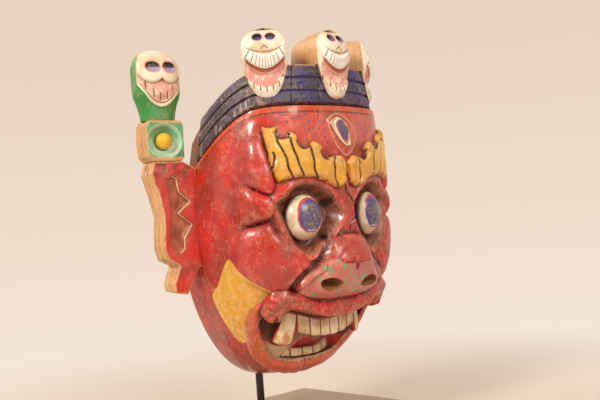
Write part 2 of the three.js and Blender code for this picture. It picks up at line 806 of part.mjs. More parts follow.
// Ears. Their own frame has +X away from the head, -Y forward, and the origin on the seat.
const earOutlineShares = [
  [0, -0.8], [0.06, -0.8], [0.31, -0.955], [0.36, -1], [0.63, -0.97], [0.66, -0.915], [0.51, -0.78],
  [0.76, -0.73], [0.82, -0.63], [0.78, -0.4], [0.88, -0.24], [1, -0.09], [0.93, 0], [0.3, 0], [0, -0.055],
];
const earRecessShares = [
  [0.46, -0.13], [0.43, -0.23], [0.17, -0.305], [0.47, -0.39], [0.17, -0.48], [0.37, -0.58], [0.37, -0.66],
  [0.48, -0.69], [0.64, -0.66], [0.7, -0.6], [0.64, -0.46], [0.63, -0.32], [0.7, -0.14], [0.58, -0.11],
];

function earPlaced(geometry) {
  const foot = new THREE.Vector3(-earSeat, -earMiddleDepth, 0);
  return mirrored(geometry).rotateZ(radians(earAngle)).translate(foot.x, foot.y, foot.z);
}

function slab(shares, width, height, thickness, bevel) {
  const outline = shares.map(([across, rise]) => new THREE.Vector2(across * width, rise * height));
  const options = {
    depth: thickness - 2 * bevel,
    bevelEnabled: bevel > 0,
    bevelThickness: bevel,
    bevelSize: bevel,
    bevelOffset: -bevel,
    bevelSegments: 2,
  };
  return new THREE.ExtrudeGeometry(new THREE.Shape(outline), options)
    .translate(0, 0, bevel - thickness / 2)
    .rotateX(Math.PI / 2);
}

const earDowelRiseShares = [0.25, 0.62];
const earBevel = 1.5;
function earDowelSpot(share) {
  return new THREE.Vector3(-earDowelLength / 2, 0, earTopRise - share * earHeight);
}

function earDowel(share, growth) {
  const spot = earDowelSpot(share);
  return bar(pegDiameter + 2 * growth, earDowelLength + 2 * growth, 12)
    .rotateY(Math.PI / 2)
    .translate(spot.x - growth, spot.y, spot.z);
}

function longPeg(growth) {
  const across = rosetteCentre(0).x;
  return bar(pegDiameter + 2 * growth, longPegLength + 2 * growth, 12)
    .translate(across, 0, earTopRise + rosetteHeight / 2 - longPegLength / 2 - growth);
}

function ear() {
  const plank = slab(earOutlineShares, earWidth, earHeight, earThickness, earBevel)
    .translate(clearance, 0, earTopRise - clearance);
  const recess = slab(earRecessShares, earWidth, earHeight, 2 * earRecessDepth, 0)
    .translate(0, -earThickness / 2, earTopRise);
  const holes = earDowelRiseShares.map((share) => earDowel(share, clearance));
  return cut(plank, recess, longPeg(clearance), ...holes);
}

// The ear sits in a flat housing in the side of the head, from its shoulder down to its lobe
function earSeatCutter() {
  const foot = earTopRise + earOutlineShares[0][1] * earHeight - clearance;
  const deep = earThickness + 2 * clearance;
  return new THREE.BoxGeometry(headHalfWidth, deep, earSeatHeight)
    .translate(headHalfWidth / 2, 0, foot + earSeatHeight / 2);
}

const rosetteOutlineShares = [
  [0.04, 0.1], [0.12, 0], [0.86, 0], [0.97, 0.12], [1, 0.5], [0.98, 0.88], [0.9, 1], [0.1, 1], [0.03, 0.9],
];
const rosetteCentreShare = 0.54;
const dishFloorShare = 0.45;
const dishHeightShare = 0.84;
function rosetteCentre(depth) {
  const across = rosetteInset + rosetteWidth * rosetteCentreShare;
  return new THREE.Vector3(across, depth - earThickness / 2, earTopRise + rosetteHeight / 2);
}

function rosetteBlock() {
  const block = slab(rosetteOutlineShares, rosetteWidth, rosetteHeight, earThickness, earBevel)
    .translate(rosetteInset, 0, earTopRise);
  const profile = [new THREE.Vector2(0, rosetteDishDepth)];
  const radius = rosetteDishDiameter / 2;
  const steps = 4;
  for (let i = 0; i <= steps; i += 1) {
    const part = dishFloorShare + (1 - dishFloorShare) * i / steps;
    profile.push(new THREE.Vector2(radius * part, rosetteDishDepth * (1 - (i / steps) ** 2)));
  }
  profile.push(new THREE.Vector2(radius, -cutOverrun), new THREE.Vector2(0, -cutOverrun));
  const spot = rosetteCentre(0);
  const dish = new THREE.LatheGeometry(profile.toReversed(), 18).scale(1, 1, dishHeightShare)
    .translate(spot.x, spot.y, spot.z);
  return cut(block, dish, longPeg(clearance));
}

function boss() {
  const radius = bossDiameter / 2;
  const profile = [new THREE.Vector2(0, 0), new THREE.Vector2(radius, 0)];
  const steps = 5;
  for (let i = 0; i <= steps; i += 1) {
    const turn = i / steps * Math.PI / 2;
    const across = i === steps ? 0 : radius * Math.cos(turn);
    profile.push(new THREE.Vector2(across, bossSide + (bossHeight - bossSide) * Math.sin(turn)));
  }
  const spot = rosetteCentre(rosetteDishDepth - clearance);
  return new THREE.LatheGeometry(profile, 18)
    .rotateX(Math.PI)
    .translate(spot.x, spot.y, spot.z);
}

function earSkull() {
  const form = skull(earSkullShares, {
    height: earSkullHeight,
    width: earSkullWidth,
    front: earSkullThickness / 2,
    back: earSkullThickness / 2,
  });
  form.translate(rosetteCentre(0).x, 0, earTopRise + rosetteHeight + clearance);
  return cut(form, longPeg(clearance));
}

// Stand
function basePlate() {
  const half = { x: baseWidth / 2 - baseEdgeBevel, y: baseDepth / 2 - baseEdgeBevel };
  const outline = new THREE.Shape([
    new THREE.Vector2(-half.x, -half.y), new THREE.Vector2(half.x, -half.y),
    new THREE.Vector2(half.x, half.y), new THREE.Vector2(-half.x, half.y),
  ]);
  const plate = new THREE.ExtrudeGeometry(outline, {
    depth: baseThickness - baseEdgeBevel,
    bevelThickness: baseEdgeBevel,
    bevelSize: baseEdgeBevel,
    bevelSegments: 3,
  });
  const flatFoot = new THREE.BoxGeometry(2 * baseWidth, 2 * baseDepth, 2 * cutOverrun)
    .translate(0, 0, -cutOverrun);
  const bore = bar(rodDiameter + 2 * clearance, baseThickness + 2 * cutOverrun, 20)
    .translate(0, rodPlace.y, -cutOverrun);
  const recess = bar(footRecessDiameter, footRecessDepth + cutOverrun, 24)
    .translate(0, rodPlace.y, -cutOverrun);
  return cut(plate, flatFoot, bore, recess);
}
const rodPlace = new THREE.Vector3(0, maskBack + rodSetback, 0);
const rodFoot = 2 * clearance;

// The pad's rim meets the domed underside of the crown first, at its back corners
const crownPadSide = crownPadDiameter / 2 / (hollowSizes.halfWidth * (1 - templeLeanShare));
const crownPadTop = horizon + hollowSizes.top - clearance
  - templeFall(crownPadSide, crownPadReach - crownPadDiameter / 2, crownRise);

function supportRod() {
  const tipEnd = crownPadTop - crownPadThickness - crownPlateThickness - 2 * clearance;
  const tipStart = tipEnd - rodTipRise;
  const forward = maskBack - crownPadReach;
  const bendRise = tipStart - (rodPlace.y - forward);
  const reach = rodBendRadius * Math.tan(Math.PI / 8);
  const stations = [{ y: rodPlace.y, z: rodFoot, lean: 0 }];
  const steps = 4;
  for (let i = 0; i <= steps; i += 1) {
    const lean = Math.PI / 4 * i / steps;
    stations.push({
      y: rodPlace.y - rodBendRadius * (1 - Math.cos(lean)),
      z: bendRise - reach + rodBendRadius * Math.sin(lean),
      lean,
    });
  }
  for (let i = 0; i <= steps; i += 1) {
    const lean = Math.PI / 4 * (1 - i / steps);
    stations.push({
      y: forward + rodBendRadius * (1 - Math.cos(lean)),
      z: tipStart + reach - rodBendRadius * Math.sin(lean),
      lean,
    });
  }
  stations.push({ y: forward, z: tipEnd, lean: 0 });
  const sides = 12;
  return ringSolid(stations.map(({ y, z, lean }) => Array.from({ length: sides }, (_, k) => {
    const turn = 2 * Math.PI * k / sides;
    const out = rodDiameter / 2 * Math.cos(turn);
    return new THREE.Vector3(
      rodDiameter / 2 * Math.sin(turn),
      y + out * Math.cos(lean),
      z + out * Math.sin(lean),
    );
  })));
}

const crownSpot = new THREE.Vector3(0, maskBack - crownPadReach, crownPadTop - crownPadThickness);

function crownPad() {
  return bar(crownPadDiameter, crownPadThickness, 24).translate(0, crownSpot.y, crownSpot.z);
}

function crownPlate() {
  return bar(crownPlateDiameter, crownPlateThickness, 24)
    .translate(0, crownSpot.y, crownSpot.z - crownPlateThickness - clearance);
}

function ringAround(diameter, height, sides = 10) {
  const outline = new THREE.Shape().absarc(0, 0, diameter / 2, 0, 2 * Math.PI);
  outline.holes.push(new THREE.Path().absarc(0, 0, rodDiameter / 2 + clearance, 0, 2 * Math.PI, true));
  return new THREE.ExtrudeGeometry(outline, { depth: height, bevelEnabled: false, curveSegments: sides });
}

const chinRestRise = baseThickness + chinGap + chinCollarRise;
function chinCollar() {
  return ringAround(chinCollarDiameter, chinCollarHeight).translate(0, rodPlace.y, chinRestRise);
}

// A felt block fills the space between the collar and the back of the chin
function chinPad() {
  const from = rodPlace.y - chinCollarDiameter / 2;
  const long = from - maskBack - clearance;
  const middle = (from + chinCollarDiameter / 2 + maskBack + clearance) / 2;
  const block = new THREE.BoxGeometry(chinPadWidth, long + chinCollarDiameter / 2, chinCollarHeight)
    .translate(0, middle, chinRestRise + chinCollarHeight / 2);
  const round = bar(chinCollarDiameter + 2 * clearance, chinCollarHeight + 2 * cutOverrun, 24)
    .translate(0, rodPlace.y, chinRestRise - cutOverrun);
  return cut(block, round);
}

function footWasher() {
  return ringAround(footWasherDiameter, footWasherThickness)
    .translate(0, rodPlace.y, footRecessDepth - clearance - footWasherThickness);
}

function footNut() {
  const corners = 6;
  const outline = new THREE.Shape(Array.from({ length: corners }, (_, i) => {
    const turn = i * 2 * Math.PI / corners;
    return new THREE.Vector2(Math.cos(turn), Math.sin(turn)).multiplyScalar(footNutWidth / Math.sqrt(3));
  }));
  outline.holes.push(new THREE.Path().absarc(0, 0, rodDiameter / 2 + clearance, 0, 2 * Math.PI, true));
  const settings = { depth: footNutHeight, bevelEnabled: false, curveSegments: 10 };
  return new THREE.ExtrudeGeometry(outline, settings)
    .translate(0, rodPlace.y, footRecessDepth - 2 * clearance - footWasherThickness - footNutHeight);
}

// Finishes
const finish = (colour, roughness, metalness = 0) => new THREE.MeshStandardMaterial({
  color: new THREE.Color(colour), roughness, metalness,
});
const redPaint = finish('#c8372d', 0.4);
const navyPaint = finish('#463c4b', 0.5);
const ivoryPaint = finish('#f0e1c8', 0.55);
const creamPaint = finish('#e6d2b4', 0.45);
const tonguePaint = finish('#be3c3c', 0.45);
const mintPaint = finish('#96c8a0', 0.55);
const yellowPaint = finish('#ebb932', 0.45);
const bareWood = finish('#dca878', 0.7);
const darkSteel = finish('#1e1c1c', 0.25, 0.9);
const baseStain = finish('#b2967d', 0.5);
const greyFelt = finish('#3a3836', 0.95);

const object = new THREE.Group();
const mask = new THREE.Group();
mask.position.set(0, maskBack, horizon);
object.add(mask);

function addPiece(parent, name, geometry, material) {
  const mesh = new THREE.Mesh(geometry, material);
  mesh.name = name;
  parent.add(mesh);
}

const crownSkullAngles = { right: -crownSkullAngle, centre: 0, left: crownSkullAngle };
const eyeSides = { right: -1, left: 1 };
const seatCutters = [earSeatCutter(), ...earDowelRiseShares.map((share) => earDowel(share, clearance))]
  .map(earPlaced);

const faceBlock = cut(
  headOutside(),
  headHollow(),
  mouthCutter(),
  ...Object.values(eyeSides).map(nostrilCutter),
  ...Object.values(eyeSides).map(eyePocket),
  ...seatCutters,
  ...seatCutters.map(mirrored),
  ...Object.values(crownSkullAngles).map((turn) => crownPeg(turn, clearance)),
);
addPiece(mask, 'face_block', faceBlock, redPaint);
addPiece(mask, 'crown_band', crownBand(), navyPaint);
addPiece(mask, 'upper_teeth', upperTeeth(), creamPaint);
addPiece(mask, 'lower_teeth', lowerTeeth(), creamPaint);
addPiece(mask, 'tongue', tongue(), tonguePaint);
for (const [side, turn] of Object.entries(crownSkullAngles)) {
  addPiece(mask, `crown_skull_${side}`, crownSkull(turn, crownPeg(turn, clearance)), ivoryPaint);
  addPiece(mask, `crown_skull_peg_${side}`, crownPeg(turn, 0), bareWood);
}
for (const [side, sign] of Object.entries(eyeSides)) {
  addPiece(mask, `eyeball_${side}`, eyeball(sign), creamPaint);
}

const earPieces = [
  ['ear', ear(), redPaint],
  ['ear_dowel_upper', earDowel(earDowelRiseShares[0], 0), bareWood],
  ['ear_dowel_lower', earDowel(earDowelRiseShares[1], 0), bareWood],
  ['ear_long_peg', longPeg(0), bareWood],
  ['rosette_block', rosetteBlock(), mintPaint],
  ['rosette_boss', boss(), yellowPaint],
  ['ear_skull', earSkull(), ivoryPaint],
];
for (const [name, shape, material] of earPieces) {
  const right = earPlaced(welded(shape));
  addPiece(mask, `${name}_right`, right, material);
  addPiece(mask, `${name}_left`, mirrored(right), material);
}

addPiece(object, 'base_plate', basePlate(), baseStain);
addPiece(object, 'support_rod', supportRod(), darkSteel);
addPiece(object, 'crown_plate', crownPlate(), darkSteel);
addPiece(object, 'crown_pad', crownPad(), greyFelt);
addPiece(object, 'chin_collar', chinCollar(), darkSteel);
addPiece(object, 'chin_pad', chinPad(), greyFelt);
addPiece(object, 'foot_washer', footWasher(), darkSteel);
addPiece(object, 'foot_nut', footNut(), darkSteel);

export default object;
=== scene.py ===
# A painted wooden guardian mask on a bent rod stand: finish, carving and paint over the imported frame
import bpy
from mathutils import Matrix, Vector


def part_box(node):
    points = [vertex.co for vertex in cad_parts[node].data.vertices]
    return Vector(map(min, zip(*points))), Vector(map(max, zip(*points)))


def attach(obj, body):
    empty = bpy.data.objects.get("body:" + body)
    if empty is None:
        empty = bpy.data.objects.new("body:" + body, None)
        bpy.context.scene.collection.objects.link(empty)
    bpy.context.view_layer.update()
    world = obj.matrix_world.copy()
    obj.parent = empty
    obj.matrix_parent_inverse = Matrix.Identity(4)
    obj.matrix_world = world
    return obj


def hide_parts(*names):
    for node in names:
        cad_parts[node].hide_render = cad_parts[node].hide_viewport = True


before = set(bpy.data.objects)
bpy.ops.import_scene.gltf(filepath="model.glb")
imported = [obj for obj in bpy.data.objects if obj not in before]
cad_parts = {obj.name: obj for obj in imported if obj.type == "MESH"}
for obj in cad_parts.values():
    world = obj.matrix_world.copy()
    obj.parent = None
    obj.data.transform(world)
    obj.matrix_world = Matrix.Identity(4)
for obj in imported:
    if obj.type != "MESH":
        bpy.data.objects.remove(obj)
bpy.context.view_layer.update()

import math

import bmesh
import bpy
import numpy as np
from mathutils import Quaternion, Vector

mm = 0.001
faceLow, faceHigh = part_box("face_block")

# The head's form in millimetres, as in the solids
head = dict(
    halfWidth=118.0, depth=133.0, chinDrop=166.0, crownRise=146.0, widestRise=10.0, bandHeight=38.0,
    planPower=2.8, chinPower=2.1, backNarrow=0.08, templeLean=0.16, browLean=0.02, arcRadius=120.0,
    bandBendDepth=102.0, bandBendSoftness=12.0, bandSlopeLow=0.7, bandSlopeTop=0.6,
    bandSink=3.0, bandThickness=8.0, faceWall=24.0, sideWall=16.0, crownWall=20.0, chinWall=14.0,
)
head["bandRise"] = head["crownRise"] - head["bandHeight"]
maskBack = faceHigh.y / mm
horizon = faceLow.z / mm + head["chinDrop"]


# Smooth step from 0 at start to 1 at end
def ease(value, start, end):
    t = np.clip((value - start) / (end - start), 0, 1)
    return t * t * (3 - 2 * t)


# Radius of a superellipse of that power at an angle
def polarRadius(angle, power):
    return (np.abs(np.cos(angle)) ** power + np.abs(np.sin(angle)) ** power) ** (-1 / power)


# How far the crown's edge falls away behind the temples
def templeFall(widthPart, depth, rise):
    short = head["bandBendDepth"] - depth
    behind = (short + np.hypot(short, head["bandBendSoftness"])) / 2
    low = head["bandSlopeLow"] * ease(rise, head["widestRise"], head["bandRise"])
    climb = (rise - head["bandRise"]) / head["bandHeight"]
    high = head["bandSlopeLow"] + (head["bandSlopeTop"] - head["bandSlopeLow"]) * climb
    return behind * widthPart ** 2 * np.where(rise <= head["bandRise"], low, high)


# Point of the plain head: a superellipse plan by bearing, a superellipse chin below the widest level
# and leaning temples above it. Level runs from -1 at the chin to 1 at the crown's edge.
def headPoint(bearing, level, growth=0.0, topGrowth=0.0, spread=1.0, inner=False):
    bearing, level = np.broadcast_arrays(np.asarray(bearing, float), np.asarray(level, float))
    halfWidth = head["halfWidth"] - (head["sideWall"] if inner else -growth)
    depthSize = head["depth"] - (head["faceWall"] if inner else -growth)
    top = head["crownRise"] - (head["crownWall"] if inner else -topGrowth)
    bottom = head["chinDrop"] - (head["chinWall"] if inner else -growth)
    low = level < 0
    pitch = level * math.pi / 2
    radius = polarRadius(pitch, head["chinPower"])
    climb = np.where(low, radius * np.sin(pitch), level)
    reach = np.where(low, bottom + head["widestRise"], top - head["widestRise"])
    rise = head["widestRise"] + reach * climb
    lowShare = radius * np.cos(pitch)
    up = np.clip(level, 0, None) ** 3
    widthShare = np.where(low, lowShare, 1 - head["templeLean"] * up)
    depthShare = np.where(low, lowShare, 1 - head["browLean"] * up)
    plan = polarRadius(bearing, head["planPower"])
    across, forward = plan * np.sin(bearing), plan * np.cos(bearing)
    narrow = 1 - head["backNarrow"] * (1 - forward) ** 2
    x = halfWidth * widthShare * across * narrow * spread
    depth = depthSize * depthShare * forward * spread
    return np.stack([x, -depth, rise - templeFall(across * spread, depth, rise)], -1)


def levelOf(rise):
    return (rise - head["widestRise"]) / (head["crownRise"] - head["widestRise"])


def headNormal(bearing, level):
    step = 0.01
    across = headPoint(bearing + step, level) - headPoint(bearing - step, level)
    along = headPoint(bearing, np.minimum(1, level + step)) - headPoint(bearing, np.maximum(-1, level - step))
    normal = np.cross(across, along)
    length = np.linalg.norm(normal, axis=-1, keepdims=True)
    down = np.zeros_like(normal)
    down[..., 2] = np.sign(level)
    return np.where(length > 1e-6, normal / np.maximum(length, 1e-6), down)


# Bearings from -90 to 90 degrees that close up towards the front
def bearings(count):
    part = np.linspace(-1, 1, count)
    return math.pi / 2 * (0.72 * part + 0.28 * part ** 3)


# Smooth closed or open curve through a few points (Catmull-Rom)
def smoothLine(points, closed=False, steps=8):
    p = np.asarray(points, float)
    p = np.vstack([p[-1], p, p[0], p[1]]) if closed else np.vstack([2 * p[0] - p[1], p, 2 * p[-1] - p[-2]])
    t = np.linspace(0, 1, steps, endpoint=False)[:, None]
    rows = []
    for a, b, c, d in zip(p, p[1:], p[2:], p[3:]):
        bend, twist = 2 * a - 5 * b + 4 * c - d, 3 * b - a - 3 * c + d
        rows.append(0.5 * (2 * b + (c - a) * t + bend * t ** 2 + twist * t ** 3))
    line = np.vstack(rows)
    return line if closed else np.vstack([line, p[-2]])


# Distance from each (u, v) to a polyline
def lineDistance(u, v, line):
    nearest = np.full(np.shape(u), 1e9)
    for (ax, ay), (bx, by) in zip(line[:-1], line[1:]):
        dx, dy = bx - ax, by - ay
        t = np.clip(((u - ax) * dx + (v - ay) * dy) / (dx * dx + dy * dy + 1e-12), 0, 1)
        nearest = np.minimum(nearest, np.hypot(u - ax - t * dx, v - ay - t * dy))
    return nearest


# Signed distance to a closed outline, positive inside
def insideDistance(u, v, outline):
    ring = np.vstack([outline, outline[:1]])
    inside = np.zeros(np.shape(u), bool)
    for (ax, ay), (bx, by) in zip(ring[:-1], ring[1:]):
        crosses = (ay > v) != (by > v)
        slope = (bx - ax) / (by - ay if by != ay else 1e-12)
        inside ^= crosses & (u < ax + (v - ay) * slope)
    return np.where(inside, 1, -1) * lineDistance(u, v, ring)


# Rounded cushion inside an outline: a quarter circle of that width at the edge, then flat
def pillow(distance, width):
    t = np.clip(distance / width, 0, 1)
    return np.sqrt(1 - (1 - t) ** 2)


# Soft waves of several sizes, a stand-in for hand carving
def handWaves(u, v, size, seed=0):
    draw = np.random.default_rng(seed)
    total = np.zeros(np.shape(u))
    for _ in range(7):
        angle, phase, k = draw.uniform(0, math.tau), draw.uniform(0, math.tau), draw.uniform(0.6, 1.6)
        total += np.sin((u * math.cos(angle) + v * math.sin(angle)) * math.tau * k / size + phase)
    return total / 7


def setField(mesh, name, values):
    layer = mesh.attributes.get(name) or mesh.attributes.new(name, "FLOAT", "POINT")
    layer.data.foreach_set("value", np.ascontiguousarray(values, np.float32).ravel())


def getField(mesh, name):
    values = np.zeros(len(mesh.vertices), np.float32)
    mesh.attributes[name].data.foreach_get("value", values)
    return values


def vertexPlaces(mesh):
    places = np.zeros(len(mesh.vertices) * 3, np.float32)
    mesh.vertices.foreach_get("co", places)
    return places.reshape(-1, 3).astype(float)


# Volume inside a triangulated closed mesh, negative where its faces point in
def signedVolume(points, faces):
    quads = np.asarray(faces)
    a, b, c, d = (points[quads[:, k]] for k in range(4))
    return (np.einsum("ij,ij->i", a, np.cross(b, c)) + np.einsum("ij,ij->i", a, np.cross(c, d))).sum()


def weld(mesh, distance=1e-4):
    work = bmesh.new()
    work.from_mesh(mesh)
    bmesh.ops.remove_doubles(work, verts=work.verts, dist=distance)
    bmesh.ops.dissolve_degenerate(work, edges=work.edges, dist=distance)
    work.to_mesh(mesh)
    work.free()


# Rings of points (rows, columns, 3) become one closed mesh; end rings are poles or get flat caps
def ringMesh(name, rings, fields=None):
    rows, count = rings.shape[:2]
    points = rings.reshape(-1, 3)
    row, column = np.meshgrid(np.arange(rows - 1), np.arange(count), indexing="ij")
    a = row * count + column
    b = row * count + (column + 1) % count
    quads = np.stack([a, b, b + count, a + count], -1).reshape(-1, 4)
    faces = quads.tolist() + [list(range(count))[::-1], list(range((rows - 1) * count, rows * count))]
    if signedVolume(points - points.mean(0), quads) < 0:
        faces = [face[::-1] for face in faces]
    mesh = bpy.data.meshes.new(name)
    mesh.from_pydata(points, [], faces)
    for key, values in (fields or {}).items():
        setField(mesh, key, np.broadcast_to(values, (rows, count)))
    weld(mesh)
    return mesh


# Points from x, y and z arrays of matching or single rows and columns
def grid(x, y, z):
    return np.stack(np.broadcast_arrays(x, y, z), -1)


def addObject(name, mesh):
    piece = bpy.data.objects.new(name, mesh)
    bpy.context.scene.collection.objects.link(piece)
    return piece


# Cuts a mesh by other closed meshes and gives back the finished mesh
def carved(mesh, cutters, operation="DIFFERENCE"):
    piece = addObject("work", mesh)
    helpers = []
    for cutter in cutters:
        helper = addObject("cutter", cutter)
        step = piece.modifiers.new("cut", "BOOLEAN")
        step.operation, step.solver, step.object = operation, "MANIFOLD", helper
        helpers.append(helper)
    bpy.context.view_layer.update()
    evaluated = piece.evaluated_get(bpy.context.evaluated_depsgraph_get())
    result = bpy.data.meshes.new_from_object(evaluated)
    for helper in helpers + [piece]:
        bpy.data.objects.remove(helper)
    return result


# Moves a mesh from the mask's millimetres into the frame and makes it a finished piece
def finishPiece(name, mesh, material, body, nodes=(), sharp=40, inMask=True):
    places = vertexPlaces(mesh)
    if inMask:
        places = places + np.array([0, maskBack, horizon])
    mesh.vertices.foreach_set("co", (places * mm).astype(np.float32).ravel())
    mesh.polygons.foreach_set("use_smooth", np.ones(len(mesh.polygons), bool))
    mesh.set_sharp_from_angle(angle=math.radians(sharp))
    mesh.materials.clear()
    mesh.materials.append(material)
    mesh.name = name
    piece = addObject(name, mesh)
    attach(piece, body)
    if nodes:
        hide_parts(*nodes)
    print(name, len(mesh.polygons), "faces")
    return piece


# Colours are written as the eye reads them, 0 to 255; four numbers are already linear
def colour(tone):
    def linear(c):
        c /= 255
        return c / 12.92 if c <= 0.04045 else ((c + 0.055) / 1.055) ** 2.4
    return tone if len(tone) == 4 else (*map(linear, tone), 1.0)


# What is being built: the tree that the helpers below add nodes to, its material, shader or group output
building = {}


# Fills a node's sockets with links, values or colours
def fill(node, sockets):
    for key, value in sockets.items():
        socket = node.inputs[key.replace("_", " ") if isinstance(key, str) else key]
        if isinstance(value, bpy.types.NodeSocket):
            building["tree"].links.new(value, socket)
        else:
            socket.default_value = colour(value) if socket.type == "RGBA" else value


# Adds a node, sets its properties and fills its sockets
def put(kind, sockets=None, **settings):
    node = building["tree"].nodes.new(kind if kind.startswith("NodeGroup") else "ShaderNode" + kind)
    for key, value in settings.items():
        setattr(node, key, value)
    fill(node, sockets or {})
    return node


def mix(factor, first, second):
    return put("Mix", {0: factor, 6: first, 7: second}, data_type="RGBA").outputs[2]


def calc(operation, first, second=0.0, third=0.0):
    return put("Math", {0: first, 1: second, 2: third}, operation=operation).outputs[0]


def times(first, second):
    return calc("MULTIPLY", first, second)


def plus(first, second):
    return calc("ADD", first, second)


# Smooth mask of a value, 0 at low and 1 at high
def mask(value, low, high):
    return put("MapRange", {0: value, 1: low, 2: high}, interpolation_type="SMOOTHSTEP").outputs[0]


# A value stored on the mesh
def field(name):
    return put("Attribute", attribute_name=name).outputs["Fac"]


def shade(name, low, high):
    return mask(field(name), low, high)


def objectPlace(stretch=(1, 1, 1)):
    place = put("TexCoord").outputs["Object"]
    return place if stretch == (1, 1, 1) else put("Mapping", dict(Vector=place, Scale=stretch)).outputs[0]


def noise(scale, detail=3.0, rough=0.55, stretch=(1, 1, 1), distort=0.0):
    place = objectPlace(stretch)
    return put("TexNoise", {0: place, "Scale": scale, "Detail": detail, "Roughness": rough,
                            "Distortion": distort}).outputs[0]


# Lays one paint over another where all the masks meet
def over(tone, paint, *masks):
    where = masks[0]
    for other in masks[1:]:
        where = times(where, other)
    return mix(where, tone, paint)


# Lays paints over a tone in turn, each a paint and its masks
def layered(tone, *layers):
    for layer in layers:
        tone = over(tone, *layer)
    return tone


def newMaterial(name, **plain):
    material = bpy.data.materials.new(name)
    material.use_nodes = True
    material.node_tree.nodes.clear()
    building.update(material=material, tree=material.node_tree)
    shader = put("BsdfPrincipled")
    put("OutputMaterial", {0: shader.outputs[0]}).is_active_output = True
    fill(shader, plain)
    building["shader"] = shader


# Finishes the material that is being built: colour, roughness and relief
def finished(tone, rough, height, strength=0.4, distance=0.0006, **more):
    relief = put("Bump", dict(Height=height, Strength=strength, Distance=distance))
    fill(building["shader"], dict(Base_Color=tone, Roughness=rough, Normal=relief.outputs[0], **more))
    return building["material"]


# Starts a node group with named inputs and outputs; the socket called Colour and tuples are colours
def newGroup(name, inputs, outputs):
    group = bpy.data.node_groups.new(name, "ShaderNodeTree")
    for key, value in inputs.items():
        kind = "NodeSocketColor" if isinstance(value, tuple) else "NodeSocketFloat"
        socket = group.interface.new_socket(key, in_out="INPUT", socket_type=kind)
        socket.default_value = colour(value) if isinstance(value, tuple) else value
    for key in outputs:
        kind = "NodeSocketColor" if key == "Colour" else "NodeSocketFloat"
        group.interface.new_socket(key, in_out="OUTPUT", socket_type=kind)
    building["tree"] = group
    given = put("NodeGroupInput").outputs
    building["out"] = put("NodeGroupOutput")
    return given


def finishGroup(**results):
    fill(building["out"], results)
    return building["tree"]


def useGroup(group, **sockets):
    return put("Group", sockets, node_tree=group).outputs


# Hand-painted edge: a distance in millimetres, shaken by noise, becomes a mask
def makeBrushEdge():
    given = newGroup("brushEdge", dict(Distance=0.0, Shake=1.0, Scale=250.0, Soft=0.3), ["Mask"])
    grain = put("TexNoise", dict(Vector=objectPlace(), Scale=given["Scale"], Detail=3.0)).outputs[0]
    shaken = plus(given["Distance"], times(calc("SUBTRACT", grain, 0.5), given["Shake"]))
    return finishGroup(Mask=mask(shaken, times(given["Soft"], -1.0), given["Soft"]))


# Old paint: tone drifts, rubbed streaks show the colour beneath, small chips, scrapes and grime
def makeOldPaint():
    inputs = dict(Colour=(0.8, 0.8, 0.8, 1), Under=(0.3, 0.15, 0.08, 1), Rub=0.4, Chips=0.3, Grime=0.2)
    given = newGroup("oldPaint", inputs, ["Colour", "Roughness", "Height"])
    value = calc("MULTIPLY_ADD", noise(28.0, 4.0), 0.5, 0.75)
    saturation = calc("MULTIPLY_ADD", noise(45.0, 2.0), 0.24, 0.88)
    drifting = put("HueSaturation", dict(Color=given["Colour"], Value=value, Saturation=saturation))
    streaks, fine = noise(210.0, 5.0, 0.65, stretch=(1.0, 1.0, 0.28)), noise(320.0, 4.0)
    patches = noise(60.0, 4.0, 0.6)
    rubbed = times(times(mask(streaks, 0.5, 0.72), mask(patches, 0.42, 0.66)), given["Rub"])
    chip = times(mask(noise(520.0, 3.0, 0.6), 0.66, 0.72), given["Chips"])
    scrape = calc("ABSOLUTE", calc("SUBTRACT", noise(105.0, 4.0, 0.6, stretch=(1, 1, 0.6)), 0.5))
    tone = layered(
        drifting.outputs[0],
        (given["Under"], rubbed),
        ((225, 170, 120), chip),
        ((232, 178, 146), mask(scrape, 0.011, 0.003), mask(patches, 0.44, 0.56), given["Rub"]),
        ((70, 40, 28), mask(noise(95.0, 5.0, 0.7), 0.55, 0.8), given["Grime"]),
    )
    rough = plus(calc("MULTIPLY_ADD", fine, 0.25, 0.2), times(rubbed, 0.3))
    height = plus(times(fine, 0.5), times(streaks, 0.4))
    height = calc("SUBTRACT", height, times(plus(chip, rubbed), 0.5))
    return finishGroup(Colour=tone, Roughness=rough, Height=height)


# Bare carved wood: long grain, darker pores and handling dirt
def makeBareWood():
    inputs = dict(Light=(228, 180, 128), Dark=(176, 116, 66), Dirt=0.3)
    given = newGroup("bareWood", inputs, ["Colour", "Height"])
    grain = noise(260.0, 5.0, 0.6, stretch=(1.0, 1.0, 0.12), distort=0.4)
    tone = layered(
        given["Light"],
        (given["Dark"], mask(grain, 0.35, 0.75), 0.6),
        (given["Dark"], mask(noise(42.0, 3.0, 0.5, stretch=(1.0, 1.0, 0.3)), 0.4, 0.7), 0.35),
        ((96, 62, 38), mask(noise(70.0, 5.0, 0.7), 0.52, 0.75), given["Dirt"]),
    )
    return finishGroup(Colour=tone, Height=grain)


# Backdrop colour by how steeply a view ray climbs
def makeBackdrop():
    climb = newGroup("backdrop", dict(Climb=0.0), ["Colour"])["Climb"]
    tone = mix(mask(climb, -0.28, 0.0), (250, 237, 225), (240, 222, 205))
    return finishGroup(Colour=mix(mask(climb, -0.05, 0.2), tone, (233, 212, 191)))


brushEdge, oldPaint, bareWood, backdrop = makeBrushEdge(), makeOldPaint(), makeBareWood(), makeBackdrop()


# A brush edge along a stored distance; the offset widens the painted side
def edge(name, offset=0.0, shake=1.2, scale=260.0, soft=0.35):
    distance = plus(field(name), offset)
    return useGroup(brushEdge, Distance=distance, Shake=shake, Scale=scale, Soft=soft)["Mask"]


